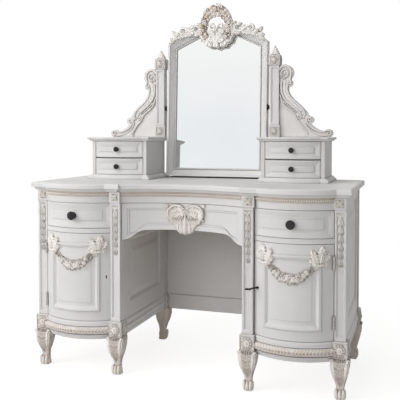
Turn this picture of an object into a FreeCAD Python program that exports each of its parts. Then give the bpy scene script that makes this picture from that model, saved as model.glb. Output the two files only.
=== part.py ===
import FreeCAD, Part
import math
import os

V = FreeCAD.Vector
os.makedirs("parts", exist_ok=True)

# Heights of the table
TABLE_HEIGHT = 778.0
TOP_SLAB = 21.0
TOP_UNDERLAY = 11.0
LEG_HEIGHT = 154.0
LEG_BLOCK_HEIGHT = 64.0
FRIEZE_HEIGHT = 46.0
DRAWER_OPENING = 104.0
RAIL_HEIGHT = 19.0
BASE_HEIGHT = 76.0
BASE_PROUD = 13.0
BASE_THICK = 30.0
BASE_QUIRK = 5.0

# Plan of the table
KNEEHOLE_WIDTH = 508.0
PEDESTAL_OPENING = 302.0
POST_SIZE = 42.0
CASE_DEPTH = 546.0
OUTER_SETBACK = 18.0
CENTRE_SETBACK = 13.0
CENTRE_HOLLOW = 66.0
BOW_RISE = 56.0
BOW_SETBACK = 19.0
TOP_SIDE_OVERHANG = 20.0
TOP_EAR_OVERHANG = 24.0
TOP_BOW_OVERHANG = 25.0
TOP_BACK_OVERHANG = 14.0
TOP_CENTRE_BREAK = 10.0
TOP_EDGE_ROUND = 8.0
TOP_EDGE_STEP = 9.0

# Posts, blocks and legs
POST_BLOCK_HEIGHT = 45.0
POST_BLOCK_PROUD = 3.0
POST_BLOCK_SIDE = 5.0
POST_FLUTE_WIDTH = 28.0
POST_FLUTE_DEPTH = 5.0
LEG_BLOCK_PROUD = 7.0
HUSK_LENGTH = 205.0
HUSK_COUNT = 5
HUSK_RADIUS = 10.0
ROSETTE_RADIUS = 17.0
LEG_ROSETTE_RADIUS = 21.0
ROSETTE_PROUD = 5.0
MIRROR_ROSETTE_RADIUS = 16.0

# Boards and clearances
SIDE_BOARD = 20.0
SIDE_INSET = 3.0
SIDE_FRAME = 62.0
SIDE_PANEL_DEPTH = 7.0
SIDE_PANEL_BEVEL = 12.0
BACK_BOARD = 10.0
FLOOR_BOARD = 14.0
SHELF_BOARD = 14.0
FRONT_MIN = 16.0
FRONT_GAP = 1.5
RUN_GAP = 0.3
DRAWER_WALL = 12.0
DRAWER_BOTTOM = 6.0
DRAWER_WALL_HEIGHT = 82.0
DRAWER_LENGTH = 400.0
RUNNER_WIDTH = 38.0
GUIDE_HEIGHT = 15.0
GUIDE_GAP = 1.0
FRONT_LIP = 6.0
FRONT_BEVEL = 15.0
FRONT_FIELD_DEPTH = 5.0
BEAD_HEIGHT = 19.0
BEAD_PROUD = 7.0

# Doors
DOOR_THICK = 22.0
DOOR_HINGE_GAP = 2.0
DOOR_FREE_BEVEL = 3.0
DOOR_SWEEP = 44.0
DOOR_BORDER = 36.0
DOOR_MOULD_WIDTH = 24.0
DOOR_MOULD_PROUD = 7.0
DOOR_FIELD_DEPTH = 3.0
DOOR_FIELD_RISE = 2.0
DOOR_FIELD_MARGIN = 8.0
DOOR_FIELD_BEVEL = 7.0
HINGE_LENGTH = 54.0
HINGE_RADIUS = 4.5
HINGE_PIN = 1.6
HINGE_LEAF = 2.0
HINGE_LEAF_WIDTH = 20.0
HINGE_LOW = 40.0
HINGE_HIGH = 44.0
KEY_INSET = 18.0
KEY_LEVEL = 182.0
KEY_REACH = 44.0
LOCK_DEPTH = 11.0
LOCK_HEIGHT = 60.0
LOCK_REACH = 35.5
LOCK_TAIL = 18.0
LOCK_WALL = 2.0
BOLT_THICK = 4.0
BOLT_HEIGHT = 11.0
STRIKE_DEPTH = 5.0
KNOT_X = 100.0
KNOT_HALF = 25.0
KNOT_HEIGHT = 78.0
KNOT_TOP_MARGIN = 8.0
KNOT_PROUD = 6.0
SWAG_DROP = 46.0
SWAG_MIDDLE = 17.0
SWAG_END = 8.0
SWAG_PROUD = 9.0
FLOWER_COUNT = 7
FLOWER_GAP = 0.4
FLOWER_RISE = 7.0

# Centre drawer
ARCH_CENTRE = 108.0
ARCH_SHOULDER = 111.0
ARCH_END = 149.0
ARCH_SHOULDER_X = 163.0
CENTRE_THICK = 22.0
CENTRE_BORDER = 20.0
CENTRE_STEP = 7.0
CENTRE_FIELD_DEPTH = 4.0
CENTRE_BOX_GAP = 0.2
CENTRE_WALL_HEIGHT = 76.0
CENTRE_RUNNER = 20.0
CARTOUCHE_HALF = 75.5
CARTOUCHE_HEIGHT = 121.0
CARTOUCHE_TOP_MARGIN = 6.0
CARTOUCHE_RIM = 9.0
CARTOUCHE_PROUD = 14.0

# Caskets
CASKET_WIDTH = 300.0
CASKET_DEPTH = 257.0
CASKET_BACK_MARGIN = 33.0
CASKET_EDGE_IN = 30.5
CASKET_OVERHANG = 18.0
CASKET_BASE = 20.0
CASKET_CAP = 17.0
CASKET_EDGE_ROUND = 4.0
CASKET_DRAWER = 74.0
CASKET_WALL = 15.0
CASKET_RISE = 28.0
CASKET_BACK = 12.0
DUST_BOARD = 8.0
CASKET_DRAWER_WALL = 9.0
CASKET_BOX_HEIGHT = 54.0
CASKET_BOX_CLEAR = 22.0

# Mirror and its posts
MIRROR_POST = 42.0
MIRROR_POST_DEPTH = 36.0
MIRROR_POST_HEIGHT = 365.0
MIRROR_BLOCK_LOW = 55.0
MIRROR_BLOCK_TOP = 46.0
MIRROR_BLOCK_PROUD = 4.0
FINIAL_HEIGHT = 42.0
BRACKET_THICK = 18.0
BRACKET_PANEL = 10.0
BRACKET_LENGTH = 220.0
BRACKET_HEIGHT = 319.0
MIRROR_HALF = 237.5
MIRROR_POST_GAP = 14.0
MIRROR_SET_BACK = 7.0
MIRROR_TABLE_GAP = 7.0
MIRROR_SHOULDER = 615.0
MIRROR_TOP_HALF = 88.0
MIRROR_RISE = 70.0
MIRROR_DEPTH = 46.0
MIRROR_LIP = 10.0
MIRROR_QUIRK = 3.0
MIRROR_COVE = 28.0
MIRROR_BEAD = 7.0
MIRROR_GLASS_BACK = 30.0
MIRROR_GLASS = 4.0
MIRROR_BOARD = 6.0
MIRROR_LEAN = 2.7
PIVOT_HEIGHT = 315.0
PIVOT_RADIUS = 5.0
PIVOT_PLATE = 4.0
PIVOT_GAP = 1.0
PIVOT_CLEAR = 0.4
WREATH_RADIUS = 57.0
WREATH_TUBE = 22.0
WREATH_RISE = 29.0
CREST_THICK = 24.0
CREST_PROUD = 14.0
FAN_LENGTH = 122.0
FAN_LOBES = 6
FAN_SWELL = 0.3

# Knobs
KNOB_RADIUS = 17.5
KNOB_REACH = 28.0
SMALL_KNOB_RADIUS = 11.5
SMALL_KNOB_REACH = 21.0

# Places that follow from the sizes
TOP_UNDER = TABLE_HEIGHT - TOP_SLAB - TOP_UNDERLAY
LEG_TOP = LEG_HEIGHT + LEG_BLOCK_HEIGHT
FRIEZE_LOW = TOP_UNDER - FRIEZE_HEIGHT
RAIL_TOP = FRIEZE_LOW - DRAWER_OPENING
RAIL_LOW = RAIL_TOP - RAIL_HEIGHT
BOW_FORWARD = BOW_RISE - BOW_SETBACK
FRONT = -(CASE_DEPTH + TOP_BACK_OVERHANG - BOW_FORWARD - TOP_BOW_OVERHANG) / 2
BACK = FRONT + CASE_DEPTH
TOP_BACK = BACK + TOP_BACK_OVERHANG
INNER_X = KNEEHOLE_WIDTH / 2 + POST_SIZE / 2
OUTER_X = INNER_X + POST_SIZE + PEDESTAL_OPENING
PED_X = (INNER_X + OUTER_X) / 2
HALF = PEDESTAL_OPENING / 2
BOW_RADIUS = (HALF * HALF + BOW_RISE * BOW_RISE) / (2 * BOW_RISE)
BOW_Y = FRONT - BOW_FORWARD + BOW_RADIUS
BOW = (PED_X, BOW_Y)
CENTRE_FRONT = FRONT + CENTRE_SETBACK
HOLLOW_HALF = KNEEHOLE_WIDTH / 2
HOLLOW_RADIUS = (HOLLOW_HALF * HOLLOW_HALF + CENTRE_HOLLOW * CENTRE_HOLLOW) / (2 * CENTRE_HOLLOW)
HOLLOW_Y = CENTRE_FRONT + CENTRE_HOLLOW - HOLLOW_RADIUS
POST_BACK_IN = FRONT + POST_SIZE
POST_BACK_OUT = FRONT + OUTER_SETBACK + POST_SIZE
REAR_POST = BACK - POST_SIZE
SIDE_IN = KNEEHOLE_WIDTH / 2 + SIDE_INSET + SIDE_BOARD
SIDE_OUT = OUTER_X + POST_SIZE / 2 - SIDE_INSET - SIDE_BOARD
LEG_SIZE = POST_SIZE + 2 * LEG_BLOCK_PROUD
KNOT_Z = RAIL_LOW - FRONT_GAP - KNOT_TOP_MARGIN - KNOT_HEIGHT / 2
SWAG_HIGH = KNOT_Z - KNOT_HEIGHT / 2 + SWAG_END


def box(x0, x1, y0, y1, z0, z1):
    return Part.makeBox(x1 - x0, y1 - y0, z1 - z0, V(x0, y0, z0))


def flip(shape):
    return shape.mirror(V(0, 0, 0), V(1, 0, 0))


def both(shape):
    return [flip(shape), shape]


def edges_of(steps):
    # A step is a corner, or a middle and an end point for an arc.
    made = []
    here = steps[0]
    for step in list(steps[1:]) + [steps[0]]:
        if isinstance(step, tuple):
            made.append(Part.Arc(here, step[0], step[1]).toShape())
            here = step[1]
        elif (step - here).Length > 0.001:
            made.append(Part.LineSegment(here, step).toShape())
            here = step
    return made


def prism(steps, reach):
    return Part.Face(Part.Wire(edges_of(steps))).extrude(reach)


def turned(steps, base, axis, degrees):
    return Part.Face(Part.Wire(edges_of(steps))).revolve(base, axis, degrees)


def taper(first, second):
    near = Part.Wire(edges_of(first))
    far = Part.Wire(edges_of(second))
    return Part.makeLoft([near, far], True, True)


def rect_y(x0, x1, z0, z1, y):
    return [V(x0, y, z0), V(x1, y, z0), V(x1, y, z1), V(x0, y, z1)]


def rect_x(y0, y1, z0, z1, x):
    return [V(x, y0, z0), V(x, y1, z0), V(x, y1, z1), V(x, y0, z1)]


def put(name, *shapes):
    solids = []
    for shape in shapes:
        solids.extend(shape.Solids)
    whole = solids[0] if len(solids) == 1 else Part.makeCompound(solids)
    whole.exportStep("parts/" + name + ".step")


# Work on a bowed front: an upright axis stands behind it and its faces are parts of cylinders
# round that axis.
def bow_y(bow, radius, half):
    return bow[1] - math.sqrt(radius * radius - half * half)


def bow_arc(bow, radius, x0, x1, z):
    ends = []
    for x in (x0, x1):
        ends.append(V(x, bow_y(bow, radius, x - bow[0]), z))
    return ends[0], V(bow[0], bow[1] - radius, z), ends[1]


def bow_slab(bow, radius, half, back, z0, z1):
    start, crown, end = bow_arc(bow, radius, bow[0] - half, bow[0] + half, z0)
    steps = [start, (crown, end), V(end.x, back, z0), V(start.x, back, z0)]
    return prism(steps, V(0, 0, z1 - z0))


def bow_frustum(bow, r_in, half_in, low_in, high_in, r_out, half_out, low_out, high_out):
    # Tapered block on the bow: one outline at the inner radius, another at the outer radius.
    swing = math.degrees(math.asin(max(half_in / r_in, half_out / r_out))) + 12
    section = []
    for r, z in ((r_in, low_in), (r_out, low_out), (r_out, high_out), (r_in, high_in)):
        section.append(V(bow[0], bow[1] - r, z))
    face = Part.Face(Part.Wire(edges_of(section)))
    face = face.rotated(V(bow[0], bow[1], 0), V(0, 0, 1), -swing)
    band = face.revolve(V(bow[0], bow[1], 0), V(0, 0, 1), 2 * swing)
    near = V(half_in, -math.sqrt(r_in * r_in - half_in * half_in), 0)
    far = V(half_out, -math.sqrt(r_out * r_out - half_out * half_out), 0)
    way = (far - near) * (1 / (far - near).Length)
    near = near - way * 12
    far = far + way * 12
    ahead = V(far.x, -r_out - 50, 0)
    low = min(low_in, low_out) - 5
    high = max(high_in, high_out) + 5
    corners = []
    for sign, spot in ((1, near), (1, far), (1, ahead), (-1, ahead), (-1, far), (-1, near)):
        corners.append(V(bow[0] + sign * spot.x, bow[1] + spot.y, low))
    return band.common(prism(corners, V(0, 0, high - low)))


def bow_run(bow, section, half):
    # Moulding that follows the bow, its section given as radius and height, cut square at both ends.
    steps = []
    for step in section:
        if len(step) == 2:
            steps.append(V(bow[0], bow[1] - step[0], step[1]))
        else:
            middle = V(bow[0], bow[1] - step[0], step[1])
            steps.append((middle, V(bow[0], bow[1] - step[2], step[3])))
    least = min(step[0] for step in section)
    swing = math.degrees(math.asin(half / least)) + 4
    face = Part.Face(Part.Wire(edges_of(steps)))
    face = face.rotated(V(bow[0], bow[1], 0), V(0, 0, 1), -swing)
    band = face.revolve(V(bow[0], bow[1], 0), V(0, 0, 1), 2 * swing)
    low = min(step[1] for step in section) - 40
    clip = box(bow[0] - half, bow[0] + half, bow[1] - 2 * least - 200, bow[1], low, low + 300)
    return band.common(clip)


# Work on the hollow centre: its upright axis stands in front of it.
def hollow_y(radius, half):
    return HOLLOW_Y + math.sqrt(radius * radius - half * half)


def hollow_board(near, far, half, z0, z1):
    # Curved board between two radii, cut square at both ends.
    a = hollow_y(near, half)
    b = hollow_y(far, half)
    steps = [V(-half, a, z0), (V(0, HOLLOW_Y + near, z0), V(half, a, z0)),
             V(half, b, z0), (V(0, HOLLOW_Y + far, z0), V(-half, b, z0))]
    return prism(steps, V(0, 0, z1 - z0))


def hollow_run(section, half):
    # Moulding that follows the hollow, its section given as radius and height.
    steps = []
    for step in section:
        if len(step) == 2:
            steps.append(V(0, HOLLOW_Y + step[0], step[1]))
        else:
            steps.append((V(0, HOLLOW_Y + step[0], step[1]), V(0, HOLLOW_Y + step[2], step[3])))
    least = min(step[0] for step in section) - BEAD_PROUD
    most = max(step[0] for step in section)
    low = min(step[1] for step in section)
    swing = math.degrees(math.asin(half / least)) + 4
    face = Part.Face(Part.Wire(edges_of(steps)))
    face = face.rotated(V(0, HOLLOW_Y, 0), V(0, 0, 1), -swing)
    band = face.revolve(V(0, HOLLOW_Y, 0), V(0, 0, 1), 2 * swing)
    return band.common(box(-half, half, HOLLOW_Y, HOLLOW_Y + most + 5, low - 40, low + 260))


def bow_front(bow, radius, half, back, z0, z1):
    # Drawer front with a bevelled, sunk field.
    slab = bow_slab(bow, radius, half, back, z0, z1)
    lip = FRONT_LIP
    sunk = FRONT_LIP + FRONT_BEVEL
    r_in = radius - FRONT_FIELD_DEPTH
    over = FRONT_BEVEL / FRONT_FIELD_DEPTH
    field = bow_frustum(bow, r_in, half - sunk, z0 + sunk, z1 - sunk,
                        radius + 1, half - lip + over, z0 + lip - over, z1 - lip + over)
    return slab.cut(field)


def dome(x, y, z, half, rise):
    # Arc that closes a turned head on its axis, as part of a ball.
    ball = (half * half + rise * rise) / (2 * rise)
    swing = math.asin(half / ball) / 2
    middle = V(x + ball * math.sin(swing), y - rise + ball * (1 - math.cos(swing)), z)
    return (middle, V(x, y - rise, z))


def knob(radius, reach, x, y, z):
    # Turned knob: back plate, waist and ringed head, facing the front.
    plate = reach * 0.12
    waist = radius * 0.34
    neck = reach * 0.55
    head = reach * 0.80
    steps = [V(x, y, z), V(x + radius * 0.8, y, z), V(x + radius * 0.8, y - plate, z),
             V(x + waist, y - plate * 2, z), V(x + waist, y - neck, z), V(x + radius * 0.85, y - neck, z),
             (V(x + radius, y - (neck + head) / 2, z), V(x + radius * 0.85, y - head, z)),
             V(x + radius * 0.6, y - head, z), dome(x, y - head, z, radius * 0.6, reach - head)]
    return turned(steps, V(x, y, z), V(0, 1, 0), 360)


def rosette(radius, x, y, z):
    # Flat flower: rounded rim, dish and centre boss, facing the front.
    rim = ROSETTE_PROUD
    dish = ROSETTE_PROUD * 0.55
    boss = ROSETTE_PROUD * 0.7
    steps = [V(x, y, z), V(x + radius, y, z), V(x + radius * 0.86, y - rim, z),
             V(x + radius * 0.7, y - rim, z), V(x + radius * 0.5, y - dish, z),
             V(x + radius * 0.32, y - dish, z),
             dome(x, y - dish, z, radius * 0.32, boss)]
    return turned(steps, V(x, y, z), V(0, 1, 0), 360)


def drawer_box(x0, x1, y0, y1, z0, z1, wall):
    # Sides, back and bottom of a drawer, each its own board.
    low = z0 + wall / 2
    return [box(x0, x0 + wall, y0, y1, z0, z1), box(x1 - wall, x1, y0, y1, z0, z1),
            box(x0 + wall, x1 - wall, y1 - wall, y1, low, z1),
            box(x0 + wall, x1 - wall, y0, y1 - wall, low, low + DRAWER_BOTTOM)]


# Table top
def top_outline(inset, z):
    radius = BOW_RADIUS + TOP_BOW_OVERHANG - inset
    ear_in = FRONT - TOP_EAR_OVERHANG + inset
    ear_out = FRONT + OUTER_SETBACK - TOP_EAR_OVERHANG + inset
    centre = FRONT - TOP_EAR_OVERHANG + TOP_CENTRE_BREAK + inset
    step_x = KNEEHOLE_WIDTH / 2 - 5 + inset
    side = OUTER_X + POST_SIZE / 2 + TOP_SIDE_OVERHANG - inset
    rear = TOP_BACK - inset
    start_x = PED_X - math.sqrt(radius * radius - (BOW_Y - ear_in) ** 2)
    end_x = PED_X + math.sqrt(radius * radius - (BOW_Y - ear_out) ** 2)
    right = [V(step_x, centre, z), V(step_x, ear_in, z), V(start_x, ear_in, z),
             (V(PED_X, BOW_Y - radius, z), V(end_x, ear_out, z)), V(side, ear_out, z), V(side, rear, z)]
    left = [V(-side, rear, z), V(-side, ear_out, z), V(-end_x, ear_out, z),
            (V(-PED_X, BOW_Y - radius, z), V(-start_x, ear_in, z)), V(-step_x, ear_in, z),
            V(-step_x, centre, z), (V(0, centre + CENTRE_HOLLOW, z), V(step_x, centre, z))]
    return right + left


def rounded_edge(outline, low, high, radius):
    # Slab whose upper edge is rounded all along its outline.
    slab = prism(outline(0, low), V(0, 0, high - radius - low))
    rings = []
    for share in (0, 1, 2, 3):
        angle = share * math.pi / 6
        inset = radius * (1 - math.cos(angle))
        rings.append(Part.Wire(edges_of(outline(inset, high - radius + radius * math.sin(angle)))))
    return slab.fuse(Part.makeLoft(rings, True, False))


def table_top():
    low = TABLE_HEIGHT - TOP_SLAB
    slab = rounded_edge(top_outline, low, TABLE_HEIGHT, TOP_EDGE_ROUND)
    underlay = taper(top_outline(TOP_EDGE_STEP + 5, TOP_UNDER), top_outline(TOP_EDGE_STEP, low))
    return slab.fuse(underlay)


put("table_top", table_top())


# Posts
def front_post(x, y, side):
    # side is +1 where the pedestal lies at larger x
    half = POST_SIZE / 2
    shaft = box(x - half, x + half, y, y + POST_SIZE, LEG_TOP, TOP_UNDER)
    xs = sorted([x - side * half, x + side * (half + POST_BLOCK_SIDE)])
    head = box(xs[0], xs[1], y - POST_BLOCK_PROUD, y + POST_SIZE, TOP_UNDER - POST_BLOCK_HEIGHT, TOP_UNDER)
    wide = POST_FLUTE_WIDTH / 2
    low = LEG_TOP + 16
    high = TOP_UNDER - POST_BLOCK_HEIGHT - 10
    depth = POST_FLUTE_DEPTH
    flute = taper(rect_y(x - wide, x + wide, low, high, y),
                  rect_y(x - wide + 4, x + wide - 4, low + 4, high - 4, y + depth))
    return shaft.fuse(head).cut(flute)


def hinge_places():
    return [LEG_TOP + HINGE_LOW, RAIL_LOW - HINGE_HIGH - HINGE_LENGTH]


HINGE_X = OUTER_X - POST_SIZE / 2 - DOOR_HINGE_GAP / 2
HINGE_EDGE = OUTER_X - POST_SIZE / 2
HINGE_Y = min(FRONT + OUTER_SETBACK, bow_y(BOW, BOW_RADIUS, HALF - DOOR_HINGE_GAP)) - HINGE_RADIUS - 0.8


def hinge_post_leaf(z):
    third = HINGE_LENGTH / 3
    rear = FRONT + OUTER_SETBACK + HINGE_LEAF_WIDTH
    plate = box(HINGE_EDGE, HINGE_EDGE + HINGE_LEAF, FRONT + OUTER_SETBACK, rear, z, z + HINGE_LENGTH)
    whole = Part.makeCylinder(HINGE_PIN, HINGE_LENGTH, V(HINGE_X, HINGE_Y, z))
    for low, tall in ((z, third - RUN_GAP), (z + 2 * third + RUN_GAP, third - RUN_GAP)):
        knuckle = Part.makeCylinder(HINGE_RADIUS, tall, V(HINGE_X, HINGE_Y, low))
        web = box(HINGE_EDGE, HINGE_EDGE + HINGE_LEAF, HINGE_Y, FRONT + OUTER_SETBACK, low, low + tall)
        whole = whole.fuse([knuckle, web])
    return whole.fuse(plate).removeSplitter()


def hinge_door_leaf(z):
    third = HINGE_LENGTH / 3
    edge = HINGE_EDGE - DOOR_HINGE_GAP
    face = bow_y(BOW, BOW_RADIUS, HALF - DOOR_HINGE_GAP)
    plate = box(edge - HINGE_LEAF, edge, face, face + HINGE_LEAF_WIDTH, z, z + HINGE_LENGTH)
    low = z + third
    knuckle = Part.makeCylinder(HINGE_RADIUS, third, V(HINGE_X, HINGE_Y, low))
    knuckle = knuckle.fuse(box(edge - HINGE_LEAF, edge, HINGE_Y, face, low, low + third))
    knuckle = knuckle.cut(Part.makeCylinder(HINGE_PIN + RUN_GAP, third, V(HINGE_X, HINGE_Y, low)))
    return knuckle.fuse(plate).removeSplitter()


def hinge_mortise(x0, x1, y0, z):
    return box(x0, x1, y0, y0 + HINGE_LEAF_WIDTH, z, z + HINGE_LENGTH)


inner_post = front_post(INNER_X, FRONT, 1)
outer_post = front_post(OUTER_X, FRONT + OUTER_SETBACK, -1)
for place in hinge_places():
    mortise = hinge_mortise(HINGE_EDGE, HINGE_EDGE + HINGE_LEAF, FRONT + OUTER_SETBACK, place)
    outer_post = outer_post.cut(mortise)
put("inner_front_posts", *both(inner_post))
put("outer_front_posts", *both(outer_post))
back_posts = []
for x in (INNER_X, OUTER_X):
    half = POST_SIZE / 2
    back_posts += both(box(x - half, x + half, REAR_POST, BACK, LEG_TOP, TOP_UNDER))
put("back_posts", *back_posts)


# Husk drops and rosettes on the posts
def husk_drop(x, y):
    link = HUSK_LENGTH / HUSK_COUNT
    top = TOP_UNDER - POST_BLOCK_HEIGHT - 16
    steps = [V(0, 0, top)]
    for number in range(HUSK_COUNT):
        high = top - number * link
        shrink = 1 - 0.09 * number
        wide = HUSK_RADIUS * shrink
        neck = HUSK_RADIUS * 0.3
        steps.append(V(neck, 0, high))
        steps.append((V(wide * 0.8, 0, high - link * 0.35), V(wide, 0, high - link * 0.7)))
        steps.append((V(wide * 0.75, 0, high - link * 0.9), V(neck, 0, high - link)))
    steps.append(V(0, 0, top - HUSK_LENGTH))
    half = turned(steps, V(0, 0, 0), V(0, 0, 1), -180)
    return half.translated(V(x, y, 0))


drops = []
flowers = []
for x, y, side in ((INNER_X, FRONT, 1), (OUTER_X, FRONT + OUTER_SETBACK, -1)):
    drops += both(husk_drop(x, y + POST_FLUTE_DEPTH))
    middle = x + side * POST_BLOCK_SIDE / 2
    high = TOP_UNDER - POST_BLOCK_HEIGHT / 2
    flowers += both(rosette(ROSETTE_RADIUS, middle, y - POST_BLOCK_PROUD, high))
    flowers += both(rosette(LEG_ROSETTE_RADIUS, x, y - LEG_BLOCK_PROUD, LEG_HEIGHT + LEG_BLOCK_HEIGHT / 2))
put("husk_drops", *drops)


# Legs: a square block on a curved leg that ends in a scroll toe
def rounded_section(half, front, back, z):
    r = min(half, (back - front) / 2) * 0.45
    a = r * (1 - math.sqrt(0.5))
    return Part.Wire(edges_of([
        V(-half + r, front, z), V(half - r, front, z), (V(half - a, front + a, z), V(half, front + r, z)),
        V(half, back - r, z), (V(half - a, back - a, z), V(half - r, back, z)),
        V(-half + r, back, z), (V(-half + a, back - a, z), V(-half, back - r, z)),
        V(-half, front + r, z), (V(-half + a, front + a, z), V(-half + r, front, z))]))


def leg():
    size = LEG_SIZE
    # height share, half width, front and back place, all as shares of the block size
    stations = ((1.0, 0.46, 0.03, 0.96), (0.91, 0.48, -0.05, 0.95), (0.78, 0.52, -0.11, 0.92),
                (0.62, 0.45, -0.03, 0.86), (0.45, 0.34, 0.15, 0.80), (0.28, 0.265, 0.30, 0.77),
                (0.14, 0.26, 0.33, 0.80), (0.0, 0.29, 0.30, 0.84))
    wires = []
    for share, half, front, back in stations:
        wires.append(rounded_section(half * size, front * size, back * size, share * LEG_HEIGHT))
    shank = Part.makeLoft(wires, True, False)
    r = 0.30 * size
    w = 0.33 * size
    c = 0.08 * size
    y = 0.36 * size
    toe = turned([V(-w, y, r), V(-w, y, c), V(-w + c, y, 0), V(w - c, y, 0), V(w, y, c), V(w, y, r)],
                 V(0, y, r), V(1, 0, 0), 360)
    head = box(-size / 2, size / 2, 0, size, LEG_HEIGHT, LEG_TOP)
    return head.fuse([shank, toe]).removeSplitter()


one_leg = leg()
front_legs = []
back_legs = []
for x, y in ((INNER_X, FRONT), (OUTER_X, FRONT + OUTER_SETBACK)):
    front_legs += both(one_leg.translated(V(x, y - LEG_BLOCK_PROUD, 0)))
    turned_leg = one_leg.rotated(V(0, 0, 0), V(0, 0, 1), 180)
    back_legs += both(turned_leg.translated(V(x, BACK + LEG_BLOCK_PROUD, 0)))
put("front_legs", *front_legs)
put("back_legs", *back_legs)


# Framed sides, floors, shelves and backs of the pedestals
def side_panel(x0, x1, y0, facing, high):
    board = box(x0, x1, y0, REAR_POST, LEG_TOP, TOP_UNDER)
    a = SIDE_FRAME
    b = SIDE_FRAME + SIDE_PANEL_BEVEL
    low = LEG_TOP
    face = x0 if facing < 0 else x1
    floor = face - facing * SIDE_PANEL_DEPTH
    sunk = taper(rect_x(y0 + a, REAR_POST - a, low + a, high - a / 2, face),
                 rect_x(y0 + b, REAR_POST - b, low + b, high - a / 2 - SIDE_PANEL_BEVEL, floor))
    c = b + 26
    rise = floor + facing * (SIDE_PANEL_DEPTH - 3)
    field = taper(rect_x(y0 + b + 8, REAR_POST - b - 8, low + b + 8, high - b, floor),
                  rect_x(y0 + c, REAR_POST - c, low + c, high - c + 8, rise))
    return board.cut(sunk).fuse(field)


put("inner_side_panels", *both(side_panel(SIDE_IN - SIDE_BOARD, SIDE_IN, POST_BACK_IN, -1, RAIL_LOW)))
put("outer_side_panels", *both(side_panel(SIDE_OUT, SIDE_OUT + SIDE_BOARD, POST_BACK_OUT, 1, TOP_UNDER)))

back_mid = REAR_POST + POST_SIZE / 2
knee_half = KNEEHOLE_WIDTH / 2
backs = both(box(PED_X - HALF, PED_X + HALF, back_mid, back_mid + BACK_BOARD, LEG_TOP, TOP_UNDER))
backs.append(box(-knee_half, knee_half, back_mid, back_mid + BACK_BOARD, LEG_TOP, TOP_UNDER))
put("back_panels", *backs)
rail_half = INNER_X - LEG_SIZE / 2
rail_low = LEG_TOP - BASE_HEIGHT + 8
back_rails = both(box(INNER_X + LEG_SIZE / 2, OUTER_X - LEG_SIZE / 2, back_mid - 5,
                      back_mid + BACK_BOARD + 3, rail_low, LEG_TOP))
back_rails.append(box(-rail_half, rail_half, back_mid - 5, back_mid + BACK_BOARD + 3, rail_low, LEG_TOP))
put("back_rails", *back_rails)


def floor_board():
    radius = BOW_RADIUS - DOOR_THICK - 3
    x0 = PED_X - HALF + 3
    x1 = PED_X + HALF - DOOR_SWEEP
    start, crown, end = bow_arc(BOW, radius, x0, x1, LEG_TOP)
    rear = POST_BACK_OUT
    steps = [start, (crown, end), V(x1, rear, LEG_TOP), V(SIDE_OUT, rear, LEG_TOP),
             V(SIDE_OUT, REAR_POST, LEG_TOP), V(SIDE_IN, REAR_POST, LEG_TOP), V(SIDE_IN, rear, LEG_TOP),
             V(x0, rear, LEG_TOP)]
    return prism(steps, V(0, 0, FLOOR_BOARD))


put("pedestal_floors", *both(floor_board()))
shelf_z = (LEG_TOP + FLOOR_BOARD + RAIL_LOW) / 2 - SHELF_BOARD / 2
shelf = box(SIDE_IN, SIDE_OUT, POST_BACK_OUT + 16, REAR_POST, shelf_z, shelf_z + SHELF_BOARD)
put("pedestal_shelves", *both(shelf))

# Frieze, pearl strips, divider rails and runners
frieze_back = FRONT + BOW_SETBACK + FRONT_MIN
frieze_half = HALF - POST_BLOCK_SIDE
friezes = both(bow_slab(BOW, BOW_RADIUS, frieze_half, frieze_back, FRIEZE_LOW, TOP_UNDER))
friezes.append(hollow_board(HOLLOW_RADIUS, HOLLOW_RADIUS + CENTRE_THICK, knee_half, FRIEZE_LOW, TOP_UNDER))
put("frieze_rails", *friezes)


def bead_section(r, way):
    # The way is +1 where the strip stands out to a larger radius.
    low = TOP_UNDER - BEAD_HEIGHT
    return [(r, low), (r + way * 3, low), (r + way * 3, low + 4),
            (r + way * BEAD_PROUD * 0.55, low + BEAD_HEIGHT * 0.65, r + way * BEAD_PROUD, TOP_UNDER),
            (r, TOP_UNDER)]


pearls = both(bow_run(BOW, bead_section(BOW_RADIUS, 1), frieze_half))
pearls.append(hollow_run(bead_section(HOLLOW_RADIUS, -1), knee_half))
put("pearl_strips", *pearls)
rail_back = FRONT + BOW_SETBACK + FRONT_MIN + 8
put("drawer_rails", *both(bow_slab(BOW, BOW_RADIUS, HALF, rail_back, RAIL_LOW, RAIL_TOP)))


def runner(x0, way, y0):
    wide = RUNNER_WIDTH
    guide = SIDE_OUT - SIDE_IN - PEDESTAL_OPENING
    guide = guide / 2 + FRONT_GAP + 4
    steps = [V(x0, y0, RAIL_LOW), V(x0 + way * wide, y0, RAIL_LOW), V(x0 + way * wide, y0, RAIL_TOP),
             V(x0 + way * guide, y0, RAIL_TOP), V(x0 + way * guide, y0, RAIL_TOP + GUIDE_HEIGHT),
             V(x0, y0, RAIL_TOP + GUIDE_HEIGHT)]
    return prism(steps, V(0, REAR_POST - y0, 0))


runners = both(runner(SIDE_IN, 1, POST_BACK_OUT)) + both(runner(SIDE_OUT, -1, POST_BACK_OUT))
centre_low = FRIEZE_LOW - ARCH_CENTRE + 12
centre_run = KNEEHOLE_WIDTH / 2 + SIDE_INSET
runners += both(box(centre_run - CENTRE_RUNNER, centre_run, POST_BACK_IN + 20, REAR_POST,
                    centre_low - 14, centre_low))
put("drawer_runners", *runners)


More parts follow.
